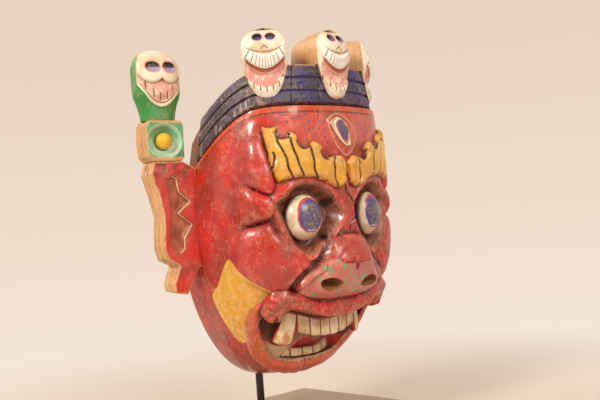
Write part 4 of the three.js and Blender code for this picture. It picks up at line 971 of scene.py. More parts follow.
def facePaint():
    newMaterial("redPaint", Coat_Roughness=0.14)
    rise, signed, cavity, below = field("rise"), field("across"), field("cavity"), field("below")
    across, rim = calc("ABSOLUTE", signed), calc("ABSOLUTE", field("thirdOuter"))
    blotches, grit = noise(34.0, 5.0, 0.62), noise(170.0, 5.0, 0.7)
    streak = mask(noise(60.0, 4.0, 0.6, stretch=(1, 1, 0.2)), 0.5, 0.62)
    stroke = mask(noise(330.0, 2.0, stretch=(1, 1, 0.3)), 0.5, 0.58)
    green = mask(noise(190.0, 1.0), 0.6, 0.64)
    # Painted shade: a dark red for where the carving lies below what surrounds it
    recessShadeTone = (74, 26, 22)
    yellow = mix(mask(grit, 0.42, 0.6), (226, 158, 28), (236, 186, 84))
    violet = mix(mask(grit, 0.42, 0.58), (82, 72, 146), (92, 92, 104))
    upperLip = mix(mask(noise(60.0, 5.0, 0.65), 0.44, 0.6), (190, 32, 32), (160, 58, 42))
    lowerLip = mix(mask(noise(110.0, 5.0, 0.65), 0.42, 0.6), (206, 84, 66), (184, 92, 42))
    gums = mix(mask(rise, -112, -128), (164, 88, 74), (196, 172, 138))
    inside = mix(mask(grit, 0.42, 0.6), (150, 84, 64), (104, 60, 42))
    inside = over(inside, (186, 148, 104), mask(signed, 14, 18), mask(across, 50, 42))
    browTone = layered(
        mix(mask(rise, 40, 78), (226, 160, 28), (238, 186, 74)),
        ((244, 206, 118), mask(grit, 0.54, 0.62), 0.6),
        ((186, 78, 34), shade("brow", 3.0, 1.0), mask(rise, 44, 38), stroke),
        ((66, 36, 20), shade("browLine", 1.35, 0.75)),
    )
    tone = layered(
        mix(mask(blotches, 0.42, 0.66), (200, 50, 40), (164, 52, 40)),
        ((150, 40, 32), streak, mask(across, 92, 112), 0.6),
        ((226, 84, 58), mask(grit, 0.53, 0.62), mask(blotches, 0.56, 0.42), 0.8),
        ((132, 62, 46), mask(grit, 0.52, 0.64), mask(blotches, 0.46, 0.62), 0.75),
        # painted shade in the hollows of the carving
        (recessShadeTone, mask(cavity, 0.6, 2.0), 0.75),
        # painted highlight: a pinker patch on the upper forehead
        ((214, 88, 70), mask(rise, 60, 82), mask(across, 84, 66), 0.8),
        ((162, 26, 24), mask(rise, -112, -140), mask(across, 80, 112), 0.8),
        ((196, 112, 100), edge("under")),
        ((88, 170, 116), green, edge("under", -1.0)),
        ((150, 22, 20), edge("notch")),
        ((110, 28, 26), shade("facet", 0.9, 0.3), 0.8),
        (yellow, edge("patch", 0.3, 2.5, 180.0)),
        (upperLip, edge("lipUp")),
        (lowerLip, edge("lipLow")),
        (gums, edge("gums")),
        ((214, 170, 130), shade("lipRim", 1.0, 0.4), 0.8),
        ((66, 20, 18), shade("crack", 0.9, 0.5), edge("lipLow")),
        ((82, 82, 128), shade("dots", 1.7, 1.1), 0.85),
        ((104, 48, 30), mask(below, 7.5, 6.0), mask(rise, 20, 40)),
        ((212, 78, 34), mask(below, 5.5, 4.5), mask(rise, 20, 40)),
        (inside, edge("socket", 0.5)),
        # painted shade in the socket's deep pocket and a painted dark hole, then a painted shadow ring round
        # the eyeball
        ((38, 22, 16), shade("pocket", 0.35, 0.7), edge("socket"), 0.85),
        ((44, 24, 18), shade("eyeAway", 3.0, 1.0), edge("socket"), 0.8),
        # painted shade: a thin dark red band round the brow's edge
        ((140, 44, 32), edge("brow", 0.9), 0.6),
        (browTone, edge("brow", -0.2)),
        # painted shade in the middle groove and along the fold beside the nose
        ((70, 22, 18), shade("midLine", 1.8, 0.8), mask(rise, -17, -13), mask(rise, 34, 28)),
        ((84, 26, 22), shade("fold", 3.4, 1.4), mask(rise, -12, -30), 0.85),
        ((120, 72, 44), shade("thirdArch", 1.6, 0.9)),
        ((230, 176, 140), mask(rim, 1.0, 0.4), 0.8),
        ((222, 118, 100), edge("thirdOuter", -1.0), mask(grit, 0.4, 0.6), 0.6),
        ((120, 74, 44), edge("thirdInner", 1.3)),
        ((236, 212, 176), edge("thirdInner", 0.4)),
        ((196, 96, 74), edge("thirdInner", -1.6, 0.6), mask(signed, -6, 0), 0.7),
        ((190, 54, 50), edge("thirdIris", 1.1)),
        (violet, edge("thirdIris", 0.1)),
        # more painted shade in the deepest hollows, over the other paints
        (recessShadeTone, mask(cavity, 0.9, 2.6), 0.35),
        ((226, 132, 104), mask(cavity, -0.35, -1.2), mask(grit, 0.46, 0.58), 0.5),
    )
    paint = useGroup(oldPaint, Colour=tone, Rub=0.5, Chips=0.4, Grime=0.3)
    place = put("SeparateXYZ", {0: objectPlace()}).outputs
    flatBack = mask(place[1], maskBack * mm - 0.0012, maskBack * mm - 0.0004)
    bare = calc("MAXIMUM", flatBack, shade("inner", 0.35, 0.65))
    # Inside the mouth the wood gets painted shade: dark brown deep in, pinker near the lips
    wood = useGroup(bareWood, Light=(176, 124, 78), Dark=(112, 72, 44), Dirt=0.6)
    throat = mask(place[1], (maskBack - 30) * mm, (maskBack - 58) * mm)
    low = mask(place[2], (horizon - 74) * mm, (horizon - 84) * mm)
    nearLips = mask(place[1], (maskBack - 92) * mm, (maskBack - 106) * mm)
    mouthShade = over(wood["Colour"], mix(nearLips, (70, 36, 26), (168, 84, 66)), throat, low, 0.78)
    rough = plus(paint["Roughness"], times(bare, 0.35))
    facets = plus(times(noise(75.0, 3.0, 0.5), 1.6), times(grit, 0.8))
    dull = calc("MAXIMUM", bare, edge("socket", -1.0))
    return finished(mix(bare, paint["Colour"], mouthShade), rough, plus(paint["Height"], facets), 0.65, 0.0009,
                    Coat_Weight=calc("MULTIPLY_ADD", dull, -0.5, 0.5))


finishPiece("faceCarving", faceMesh, facePaint(), "mask", ["face_block"])


def paintMaterial(name, tone, under=(120, 70, 45), rub=0.4, chips=0.3, grime=0.3):
    newMaterial(name)
    paint = useGroup(oldPaint, Colour=tone, Under=under, Rub=rub, Chips=chips, Grime=grime)
    return finished(paint["Colour"], paint["Roughness"], paint["Height"])


# Crown band: the ribs run round the crown and fall away with it to a point
band = dict(columns=420, side=70, ribHeight=3.2, endDepth=29.0, topProud=3.0, flare=4.0, jointGap=34.0)
bandProfile = [
    (0, 0.3), (0.04, 0.9), (0.17, 1), (0.29, 0.9), (0.325, -0.1), (0.36, 0.9), (0.5, 1), (0.63, 0.9),
    (0.665, -0.1), (0.7, 0.9), (0.95, 0.95), (1, 0.3),
]


def makeBand():
    ledge = levelOf(head["bandRise"] + 0.3)
    end = math.pi / 2 - band["endDepth"] / head["halfWidth"]
    columns = bearings(band["columns"]) * end / (math.pi / 2)
    part = np.linspace(0, 1, band["side"])
    shares = np.interp(part, *np.array(bandProfile).T)
    bearing, along = np.meshgrid(columns, part, indexing="ij")
    height = np.broadcast_to(shares, bearing.shape).copy()
    s, v = bearing * head["arcRadius"], along * head["bandHeight"]
    joint = np.mod(s + 9, band["jointGap"]) - band["jointGap"] / 2
    jointed = (along > 0.05) * (along < 0.97) * (1 - ease(np.abs(s), 62, 70))
    height -= 0.45 * np.exp(-(joint / 0.7) ** 2) * jointed
    height += 0.16 * handWaves(s, v * 3, 24, 11) + 0.1 * handWaves(s, v, 8, 12)
    height += 0.35 * np.minimum(handWaves(s, v * 0.3, 5, 13), 0) * ease(np.abs(s), 50, 80)
    growth = -head["bandSink"] + band["ribHeight"] * (height - 1) + band["flare"] * ease(np.abs(s), 75, 130)
    level = ledge + (1 - ledge) * along
    plain = headPoint(bearing, level, 0.0, band["topProud"])
    wide = headPoint(bearing, level, 1.0, band["topProud"])
    inside = -head["bandSink"] - head["bandThickness"] + 0.3
    down = 1 - (1 - ledge) * np.linspace(0, 1, 9)
    inner = headPoint(bearing[:, :9], down, inside, band["topProud"])
    rings = np.concatenate([plain + (wide - plain) * growth[..., None], inner], 1)

    def both(front, behind):
        return np.concatenate([front, np.broadcast_to(behind, inner.shape[:2])], 1)

    return ringMesh("crownBand", rings, dict(
        across=both(s, s[:, :9]), bandPart=both(along, -1), bandHeight=both(height, 0.8)))


def bandPaint():
    newMaterial("navyPaint")
    part, side = field("bandPart"), mask(calc("ABSOLUTE", field("across")), 66, 92)
    scratches = mask(noise(230.0, 5.0, 0.7, stretch=(1, 1, 0.35)), 0.52, 0.62)
    low = calc("MAXIMUM", mask(part, 0.4, 0.25), 0.35)
    tone = layered(
        mix(mask(noise(44.0, 4.0, 0.6), 0.48, 0.66), (76, 66, 82), (62, 52, 122)),
        ((84, 70, 76), side, 0.7),
        (mix(side, (128, 120, 186), (30, 22, 26)), shade("bandHeight", 0.6, 0.1)),
        ((172, 152, 132), scratches, side, low, 0.85),
        ((206, 164, 120), mask(part, 0.955, 0.985), mask(scratches, 0.9, 0.2)),
    )
    paint = useGroup(oldPaint, Colour=tone, Under=(120, 92, 76), Rub=0.6, Chips=0.3, Grime=0.2)
    return finished(paint["Colour"], plus(paint["Roughness"], 0.12), paint["Height"], 0.6)


finishPiece("crownBandRibs", makeBand(), bandPaint(), "mask", ["crown_band"])

# Carving of a crown skull: almond sockets, a nose notch, and a bowed fan of teeth over an open jaw
def crownSkullCarving(a, b):
    side = np.abs(a)
    bow = b - 0.24 * a ** 2
    socketUp = (b - 0.86) / 0.05
    socket = 1 - (np.abs((side - 0.27) / 0.2) ** 2.2 + np.abs(socketUp) ** 1.8)
    fan = np.minimum(0.605 - bow, bow - 0.42)
    gum = np.minimum(0.42 - bow, bow - 0.36)
    cavity = np.minimum(0.36 - bow, bow - 0.16)
    rim = np.minimum(0.16 - bow, bow - 0.07)
    edgeOut = ease(side, 0.9, 0.76)
    nose = np.exp(-((b - 0.73 + 0.3 * side) / 0.012) ** 2) * ease(side, 0.2, 0.13)
    rays = np.abs(np.sin(np.arctan2(a, 1.05 - b) * 15.0))
    dashes = 1 - ease(np.abs(np.sin(a * 12.0)), 0.1, 0.5)
    dashes = dashes * ease(np.minimum(0.19 - bow, bow - 0.09), 0, 0.02)
    groove = np.maximum((1 - ease(rays, 0.05, 0.4)) * ease(fan, 0.0, 0.02), dashes) * edgeOut
    crease = np.exp(-((bow - 0.64 + 0.1 * a ** 2) / 0.014) ** 2) * edgeOut
    height = -3.2 * ease(socket, -0.15, 0.75) - 1.0 * nose - 0.9 * crease + 0.8 * ease(bow, 0.64, 0.7)
    height += (1.3 * ease(fan, -0.01, 0.035) - 0.7 * groove) * edgeOut
    height -= (1.3 * ease(gum, 0, 0.02) + 3.2 * ease(cavity, -0.01, 0.04)) * edgeOut
    height += 0.6 * ease(rim, 0, 0.03) * edgeOut
    scratch = np.exp(-((b - 0.925 + 0.5 * (side - 0.25) ** 2) / 0.006) ** 2) * ease(side, 0.45, 0.38)
    return height, dict(socket=socket, socketUp=socketUp, fan=fan, gum=gum, cavity=cavity, edgeOut=edgeOut,
                        groove=groove, nose=np.maximum(nose, 0.7 * scratch), crease=crease, collar=-1)


# Carving of an ear skull: round sockets, full cheeks over a wide grin, and a collar below the jaw
def earSkullCarving(a, b):
    side = np.abs(a)
    socketUp = (b - 0.735) / 0.072
    socket = 1 - (np.abs((side - 0.35) / 0.28) ** 2.4 + np.abs(socketUp) ** 1.8)
    lip = 0.555 - 0.3 * side + 0.4 * side ** 2
    grin = 0.24 + 0.36 * side ** 2
    edgeOut = ease(side, 0.97, 0.88)
    mouthPart = np.minimum(lip - b, b - grin)
    nose = np.exp(-((b - 0.565 + 0.4 * side) / 0.014) ** 2) * ease(side, 0.14, 0.08)
    crease = np.maximum(np.exp(-((b - lip) / 0.014) ** 2), np.exp(-((b - grin) / 0.014) ** 2)) * edgeOut
    rows = np.minimum(grin + 0.15 - b, b - grin - 0.02)
    groove = (1 - ease(np.abs(np.sin(a * 11.0 - 2 * b)), 0.1, 0.4)) * ease(rows, 0, 0.02) * edgeOut
    height = -3.0 * ease(socket, -0.15, 0.75) - 1.0 * nose - 1.3 * crease - 0.6 * groove
    height += (1.2 * ease(b - lip, 0, 0.05) - 1.0 * ease(mouthPart, 0, 0.04)) * edgeOut
    collar = grin - 0.055 - b
    height -= 1.2 * ease(collar, -0.01, 0.02)
    return height, dict(socket=socket, socketUp=socketUp, fan=-1, gum=-1, cavity=mouthPart, edgeOut=edgeOut,
                        groove=groove, nose=nose, crease=crease, collar=collar)


def skullMesh(form, carving, rows=14, count=220):
    even = np.linspace(0, math.tau, count, endpoint=False)
    turn, rise, half, front, back = np.broadcast_arrays(
        even - form["crowding"] * np.sin(even), *smoothLine(form["rings"], steps=rows).T[:, :, None])
    half = np.clip(half, 0, None)
    radius = polarRadius(turn, form["power"])
    a, forward = radius * np.sin(turn) * half, radius * np.cos(turn)
    height, fields = carving(a, rise)
    frontY = -form["front"] * front * forward - height * ease(forward, 0.2, 0.6) * ease(half, 0.1, 0.45)
    y = np.where(forward > 0, frontY, -form["back"] * back * forward) * (half > 0)
    waves = 0.35 * handWaves(a * form["width"] / 2 + y, rise * form["height"], 16, 21)
    x = a * form["width"] / 2 * (1 + waves / form["width"])
    fields.update(b=rise, facing=forward)
    return ringMesh("skull", grid(x, y, rise * form["height"]), fields)


# The room that the crown and its band take up, cut out of the skulls that stand on them
def crownEnvelope():
    columns = bearings(140)
    gap, sink, thick, proud = 0.5, head["bandSink"], head["bandThickness"], band["topProud"]
    levels = np.linspace(0, 1, 60)[:, None]
    shell = headPoint(columns, levels, -sink + gap, proud + gap)
    lip = headPoint(columns, 1, -sink - thick, proud + gap)[None]
    flat = np.stack([headPoint(columns, 1, -sink - thick, 0.3, spread=s) for s in (1, 0.8, 0.45, 0.0)])
    return ringMesh("crownEnvelope", np.concatenate([shell, lip, flat]))


# A skull's old ivory paint, bare wood or a painted hood behind; violet shows low in the sockets
def skullPaint(name, violet, mouthTone, hood=None):
    newMaterial(name, Coat_Weight=0.2, Coat_Roughness=0.3)
    front = shade("facing", 0.0, 0.12)
    jaw = times(field("edgeOut"), front)
    lumps = mix(mask(noise(150.0, 3.0), 0.48, 0.6), mouthTone, (246, 214, 196))
    tone = layered(
        mix(mask(noise(60.0, 4.0, 0.6), 0.45, 0.65), (244, 232, 208), (228, 202, 164)),
        ((204, 160, 112), field("crease"), front, 0.75),
        ((250, 244, 230), shade("fan", -0.004, 0.008), jaw),
        ((174, 86, 58), shade("gum", -0.004, 0.006), jaw),
        (lumps, shade("cavity", -0.004, 0.01), jaw),
        ((92, 50, 34), shade("groove", 0.35, 0.8), front),
        ((150, 92, 60), shade("crease", 0.6, 0.95), front, 0.8),
        ((140, 84, 56), shade("nose", 0.4, 0.8), front),
        ((222, 116, 108), shade("socket", -0.75, -0.3), front, 0.8),
        (mix(shade("socketUp", 0.05, -0.25), (34, 28, 30), violet), shade("socket", -0.2, 0.1), front),
    )
    paint = useGroup(oldPaint, Colour=tone, Under=(214, 170, 120), Rub=0.35, Chips=0.2, Grime=0.2)
    wood = useGroup(bareWood, Light=(226, 182, 130), Dark=(188, 132, 82), Dirt=0.35)
    painted, back, backEdge = paint["Colour"], wood["Colour"], shade("facing", 0.22, 0.1)
    if hood:
        worn = useGroup(oldPaint, Colour=hood, Under=(206, 160, 110), Rub=0.6, Chips=0.4, Grime=0.3)["Colour"]
        painted = mix(shade("collar", -0.004, 0.004), painted, worn)
        back = mix(shade("b", 0.92, 0.86), back, worn)
        backEdge = shade("facing", 0.5, 0.38)
    return finished(mix(backEdge, painted, back), plus(paint["Roughness"], 0.1), paint["Height"])


def turned(places, angle):
    x, y, z = places.T
    c, s = math.cos(angle), math.sin(angle)
    return grid(x * c - y * s, x * s + y * c, z)


ivory = skullPaint("ivoryPaint", (92, 80, 176), (232, 156, 142))
for name, bearing in crownSkulls:
    seat = headPoint(bearing, 1.0, -head["bandSink"])
    lift = np.array([seat[0], seat[1], head["crownRise"] - crownSkull["drop"]])
    form = movedMesh(skullMesh(crownSkull, crownSkullCarving), lambda p: turned(p, bearing) + lift)
    pegTop = head["crownRise"] + peg["crownLength"] * peg["highShare"] + peg["gap"]
    form = carved(form, [crownEnvelope(), tube(peg["bore"], 100.0, pegTop, crownPegPlace(bearing))])
    finishPiece("crownSkull" + name.title(), form, ivory, "mask", ["crown_skull_" + name])

# Ears and rosette blocks: planks with carved fronts
earOutline = [
    (0, -0.8), (0.06, -0.8), (0.31, -0.955), (0.36, -1), (0.63, -0.97), (0.66, -0.915), (0.51, -0.78),
    (0.76, -0.73), (0.82, -0.63), (0.78, -0.4), (0.88, -0.24), (1, -0.09), (0.93, 0), (0.3, 0),
    (0, -0.055),
]
earRecess = [
    (0.46, -0.13), (0.43, -0.23), (0.17, -0.305), (0.47, -0.39), (0.17, -0.48), (0.37, -0.58),
    (0.37, -0.66), (0.48, -0.69), (0.64, -0.66), (0.7, -0.6), (0.64, -0.46), (0.63, -0.32),
    (0.7, -0.14), (0.58, -0.11),
]
rosetteOutline = [
    (0.04, 0.1), (0.12, 0), (0.86, 0), (0.97, 0.12), (1, 0.5), (0.98, 0.88), (0.9, 1), (0.1, 1),
    (0.03, 0.9),
]


# Rounds an outline's corners by sampling it evenly and averaging its neighbours
def roundedOutline(shares, width, height, spacing=0.6, radius=2):
    corners = np.array(shares, float) * [width, height]
    ring = np.vstack([corners, corners[:1]])
    lengths = np.concatenate([[0], np.cumsum(np.linalg.norm(np.diff(ring, axis=0), axis=1))])
    count = int(lengths[-1] / spacing)
    at = np.linspace(0, lengths[-1], count, endpoint=False)
    line = np.stack([np.interp(at, lengths, ring[:, k]) for k in range(2)], -1)
    for _ in range(radius):
        line = (np.roll(line, 1, 0) + 2 * line + np.roll(line, -1, 0)) / 4
    return line


# A plank whose front follows a relief, flat behind, trimmed to the outline and bored
def plank(outline, relief, holes, spacing=0.5):
    low, high = outline.min(0) - 1, outline.max(0) + 1
    columns, rows = [np.linspace(a, b, int((b - a) / spacing)) for a, b in zip(low, high)]
    x, z = np.meshgrid(columns, rows)
    inside = insideDistance(x, z, outline)
    half, r = ear["thickness"] / 2, ear["rounding"]
    rounding = r - np.sqrt(np.clip(r ** 2 - np.clip(r - inside, 0, r) ** 2, 0, None))
    depth, fields = relief(x, z)
    back = grid(columns[::-4], half, rows[:, None])

    def both(front, behind):
        return np.concatenate([front, np.full(back.shape[:2], float(behind))], 1)

    stored = {key: both(values, -50) for key, values in fields.items()}
    rings = np.concatenate([grid(x, -half + rounding + depth, z), back], 1)
    body = ringMesh("plank", rings, dict(stored, rim=both(inside, -2 * half)))
    depths = np.array([-half - 5, r - half, r - half + 3, half - 4, half + 1])[:, None]
    wall = ringMesh("plankEdge", grid(outline[:, 0], depths, outline[:, 1]),
                    dict(dict.fromkeys(fields, -50), rim=-(depths + half)))
    return carved(carved(body, [wall], "INTERSECT"), holes)


def earRelief(x, z):
    outline = roundedOutline(earRecess, ear["width"], ear["height"], 0.8)
    recess = insideDistance(x, z - ear["topRise"], outline)
    depth = ear["recess"] * ease(recess, -0.8, 2.6)
    wave = 0.3 * handWaves(x, z, 14, 31) + 0.25 * handWaves(x, z, 40, 32)
    return depth + wave, dict(recess=recess, rise=z)


# A plank's finish: old paint on the brushed front, wood on the rest
def plankFinish(tone, front, wood, rest, **wear):
    paint = useGroup(oldPaint, Colour=tone, **wear)
    rough = mix(front, (0.62, 0.62, 0.62, 1), paint["Roughness"])
    return finished(mix(front, rest, paint["Colour"]), rough, plus(paint["Height"], wood["Height"]), 0.45)


def earPaint():
    newMaterial("earPaint")
    floor = mix(mask(noise(70.0, 4.0), 0.42, 0.62), (180, 100, 72), (150, 76, 54))
    tone = layered(
        mix(mask(noise(40.0, 5.0, 0.62), 0.48, 0.66), (204, 60, 48), (160, 66, 48)),
        ((110, 64, 46), shade("rise", 44, 58), mask(noise(90.0, 3.0), 0.4, 0.55)),
        ((118, 66, 44), edge("recess", 1.0, 0.8)),
        ((226, 186, 142), edge("recess", 0.1, 0.8)),
        ((120, 64, 44), edge("recess", -0.7, 0.9)),
        (floor, edge("recess", -1.3, 0.9)),
    )
    wood = useGroup(bareWood, Dirt=0.3)
    nicks = mask(noise(150.0, 3.0, stretch=(1, 1, 0.5)), 0.62, 0.68)
    nicked = over(wood["Colour"], (120, 62, 40), nicks, 0.7)
    return plankFinish(tone, edge("rim", -1.0, 3.4, 130.0), wood, nicked, Rub=0.45, Chips=0.35, Grime=0.35)


def rosetteRelief(x, z):
    away = np.hypot(x - rosette["centreX"], (z - rosetteMiddle) / rosette["squash"])
    part = np.clip((away / rosette["radius"] - rosette["floor"]) / (1 - rosette["floor"]), 0, 1)
    depth = np.where(away < rosette["radius"], rosette["depth"] * (1 - part ** 2), 0)
    wave = 0.25 * handWaves(x, z, 12, 41) * ease(away, 9, 12)
    return depth + wave, dict(dish=rosette["radius"] - away, rise=z)


def rosettePaint():
    newMaterial("mintPaint")
    foot, dish, rise = ear["topRise"], field("dish"), field("rise")
    mint = mix(mask(noise(80.0, 4.0), 0.42, 0.64), (158, 208, 170), (188, 214, 180))
    tone = layered(
        mix(mask(noise(60.0, 4.0), 0.45, 0.62), (112, 178, 118), (64, 142, 74)),
        (mint, edge("dish", 1.2, 0.8)),
        # painted shade: darker green in the upper part of the dish
        ((82, 158, 98), mask(rise, rosetteMiddle - 2, rosetteMiddle + 7), mask(dish, 1.0, 3.5), 0.85),
        # painted shadow: a dark green ring round the boss
        ((50, 118, 62), mask(dish, 6.8, 9.2), 0.85),
    )
    wood = useGroup(bareWood, Dirt=0.35)
    strips = times(mask(rise, foot + 3.6, foot + 4.6), mask(rise, foot + 38, foot + 37))
    front = times(edge("rim", -0.6, 2.2, 170.0), strips)
    wear = dict(Under=(206, 160, 110), Rub=0.5, Chips=0.4, Grime=0.3)
    return plankFinish(tone, front, wood, wood["Colour"], **wear)


def bossMesh():
    arc, turn = np.linspace(0, math.pi / 2, 24), np.linspace(0, math.tau, 96, endpoint=False)
    radii = np.concatenate([[0, 7.2, 8.0], 8.0 * np.cos(arc)])[:, None]
    heights = np.concatenate([[0, 0, 0.6], 2.8 + 5.2 * np.sin(arc)])[:, None]
    return ringMesh("boss", grid(radii * np.cos(turn), -heights, radii * np.sin(turn)))


earRed, mintGreen = earPaint(), rosettePaint()
bossYellow = paintMaterial("yellowPaint", (236, 188, 52), (190, 130, 60), 0.35, 0.3, 0.35)
hooded = skullPaint("hoodedSkullPaint", (168, 156, 200), (236, 176, 158), hood=(60, 146, 70))
top = ear["topRise"]
for side, name in sides:
    def earPiece(label, mesh, material, node, foot=(0, 0, 0)):
        mesh = movedMesh(mesh, lambda p: earPlaced(p + np.array(foot), side), side < 0)
        finishPiece(label + name.title(), mesh, material, "mask", [node + name])

    half, pegPlace = peg["longHalf"], (rosette["centreX"], 0)
    longHole = tube(peg["bore"], rosetteMiddle - half, rosetteMiddle + half, pegPlace)
    dowelHoles = [earDowelHole(share) for share in ear["dowelShares"]]
    outline = roundedOutline(earOutline, ear["width"], ear["height"]) + [ear["gap"], top - ear["gap"]]
    earPiece("earCarving", plank(outline, earRelief, [longHole] + dowelHoles), earRed, "ear_")
    outline = roundedOutline(rosetteOutline, rosette["width"], rosette["height"]) + [rosette["inset"], top]
    block = plank(outline, rosetteRelief, [longHole], spacing=0.4)
    earPiece("rosetteBlock", block, mintGreen, "rosette_block_")
    foot = (rosette["centreX"], -ear["thickness"] / 2 + rosette["depth"] - peg["gap"], rosetteMiddle)
    earPiece("rosetteBoss", bossMesh(), bossYellow, "rosette_boss_", foot)
    foot = np.array([rosette["centreX"], 0, top + rosette["height"] + ear["gap"]])
    skull = carved(movedMesh(skullMesh(earSkull, earSkullCarving), lambda p: p + foot), [longHole])
    earPiece("earSkull", skull, hooded, "ear_skull_")

# Eyes, teeth and tongue
def eyeMesh(side):
    radius, dome, proud, seat = (eyeball[key] for key in ("radius", "dome", "proud", "seat"))
    turn = np.linspace(0, math.pi / 2, 70)
    radii = np.concatenate([[0, radius - 0.5, radius], np.full(6, radius), radius * np.cos(turn)])
    heights = np.concatenate([[-seat, -seat, -seat + 0.5], np.linspace(-seat + 1, proud - dome - 0.2, 6),
                              proud - dome + dome * np.sin(turn)])
    around = np.linspace(0, math.tau, 128, endpoint=False)
    u = radii[:, None] * np.cos(around)
    v = radii[:, None] * np.sin(around) * eyeball["tallness"]
    place, direction = eyeFrame(side)
    right = np.cross([0, 0, 1.0], direction) * -1
    right /= np.linalg.norm(right)
    up = np.cross(right, direction)
    up *= np.sign(up[2])
    rings = place + u[..., None] * right + v[..., None] * up + heights[:, None, None] * direction
    return ringMesh("eyeball", rings, dict(eyeU=u * np.sign(right[0]) * side, eyeV=v))


def eyePaint():
    newMaterial("eyePaint", Coat_Weight=0.4, Coat_Roughness=0.15)
    u, v = field("eyeU"), field("eyeV")
    shake = calc("MULTIPLY_ADD", noise(130.0, 3.0), 0.22, -0.11)

    # How far out a place lies, as a share of an ellipse's radii
    def ring(centreU, centreV, radiusU, radiusV):
        offsets = (u, centreU, radiusU), (v, centreV, radiusV)
        squares = [calc("POWER", calc("ABSOLUTE", times(calc("SUBTRACT", at, centre), 1 / radius)), 2.0)
                   for at, centre, radius in offsets]
        return calc("SQRT", plus(*squares))

    iris, redRing = plus(ring(-2.7, 1.0, 13.4, 15.6), shake), plus(ring(-1.9, 1.9, 14.4, 16.8), shake)
    speck = mix(mask(noise(300.0, 4.0, 0.7), 0.44, 0.58), (72, 66, 118), (134, 122, 98))
    crescent = times(mask(iris, 0.82, 0.87), mask(iris, 0.96, 0.92))
    tone = layered(
        mix(mask(noise(60.0, 4.0), 0.42, 0.66), (240, 224, 196), (216, 188, 148)),
        # painted shade on the lower part of the ball
        ((200, 154, 100), mask(v, -6, -19), 0.6),
        ((206, 66, 58), mask(redRing, 1.04, 0.98)),
        ((78, 68, 150), mask(iris, 1.03, 0.98)),
        (speck, mask(iris, 0.9, 0.7)),
        ((206, 186, 170), crescent, mask(v, -9.5, -12.5), mask(u, -9, -7), mask(u, 3, 1)),
        # painted shadow: dark round the ball's rim, where it meets the socket
        ((60, 36, 28), mask(ring(0, 0, 20.5, 23.0), 0.93, 1.0)),
    )
    paint = useGroup(oldPaint, Colour=tone, Rub=0.15, Chips=0.3, Grime=0.2)
    return finished(paint["Colour"], paint["Roughness"], paint["Height"], 0.35)


eyeLook = eyePaint()
for side, name in sides:
    finishPiece("eyeball" + name.title(), eyeMesh(side), eyeLook, "mask", ["eyeball_" + name])


teeth = dict(
    thickness=8.0, steps=44, gapLength=0.9, roundPower=0.35, fangStart=0.75, fangFlare=12.0, plainLength=20,
    fangMore=13, lowerLength=9, corners=5.0,
)


def fangPart(part, blend):
    return ease(np.abs(part), teeth["fangStart"] - 0.02, teeth["fangStart"] + blend)


def teethMesh(name, upper, span, inset, count, length):
    steps = count * teeth["steps"]
    part = np.linspace(-1, 1, steps + 1)
    bearing = part * math.radians(span)
    middle = mouthEdge(upper, np.array([0.0]), np.array([head["depth"]]))[0]
    climb = (head["widestRise"] - middle) / (head["chinDrop"] + head["widestRise"])
    level = -math.atan2(climb, (1 - climb ** 2.1) ** (1 / 2.1)) * 2 / math.pi
    front = headPoint(bearing, level, -inset)[:, None, :2]
    back = headPoint(bearing, level, -inset - teeth["thickness"])[:, None, :2]
    phase = np.abs(np.sin((part + 1) * count * math.pi / 2))
    bulge = phase ** teeth["roundPower"]
    long = (length(part) * (teeth["gapLength"] + (1 - teeth["gapLength"]) * bulge))[:, None]
    ring = np.linspace(0, math.tau, 56, endpoint=False)
    radius = polarRadius(ring, teeth["corners"])
    out, up = radius * np.cos(ring), radius * np.sin(ring)
    groove = 1.5 * (1 - phase[:, None] ** 0.3) * (out > 0)
    share = ((1 - out) / 2 + groove / teeth["thickness"])[..., None]
    flat = front * (1 - share) + back * share
    seat = mouthEdge(upper, flat[..., 0], -flat[..., 1]) + (-0.3 if upper else 0.5)
    height = (1 + up) / 2 * long
    if upper:
        fang = fangPart(part, 0.04)[:, None]
        flare = teeth["fangFlare"] * fang * (height / long) ** 1.6
        outwards = np.stack([np.sign(part) * np.cos(bearing), np.abs(np.sin(bearing))], -1)[:, None, :]
        flat = flat + flare[..., None] * outwards
    z = seat - height if upper else seat + height
    return ringMesh(name, grid(flat[..., 0], flat[..., 1], z), dict(gap=phase[:, None], drop=height))


def toothPaint(name, lineTone, gumLow, gumHigh):
    newMaterial(name, Coat_Weight=0.2, Coat_Roughness=0.25)
    shading, drop = noise(70.0, 4.0), field("drop")
    gum = calc("MULTIPLY_ADD", noise(60.0, 2.0), 4.0, drop)
    tone = layered(
        mix(mask(shading, 0.42, 0.64), (234, 212, 172), (208, 172, 122)),
        # painted shade: brown towards the tips of the teeth
        ((190, 142, 88), mask(drop, 13, 22), mask(shading, 0.4, 0.6)),
        (lineTone, shade("gap", 0.24, 0.12)),
        ((164, 86, 72), mask(gum, gumHigh, gumLow)),
    )
    paint = useGroup(oldPaint, Colour=tone, Rub=0.3, Chips=0.3, Grime=0.3)
    return finished(paint["Colour"], paint["Roughness"], paint["Height"])


def upperLength(part):
    return teeth["plainLength"] + teeth["fangMore"] * fangPart(part, 0.02)


def lowerLength(part):
    return teeth["lowerLength"]


upperPaint = toothPaint("toothPaint", (150, 34, 28), 4.4, 6.0)
lowerPaint = toothPaint("lowerToothPaint", (120, 50, 40), 2.6, 3.6)
upperMesh = teethMesh("upperTeeth", True, 35.5, 8.0, 8, upperLength)
lowerMesh = teethMesh("lowerTeeth", False, 39.0, 4.0, 5, lowerLength)
finishPiece("upperTeethRow", upperMesh, upperPaint, "mask", ["upper_teeth"])
finishPiece("lowerTeethRow", lowerMesh, lowerPaint, "mask", ["lower_teeth"])


tongue = dict(back=38.0, length=19.0, halfWidth=15.0, height=9.0, shift=7.0)


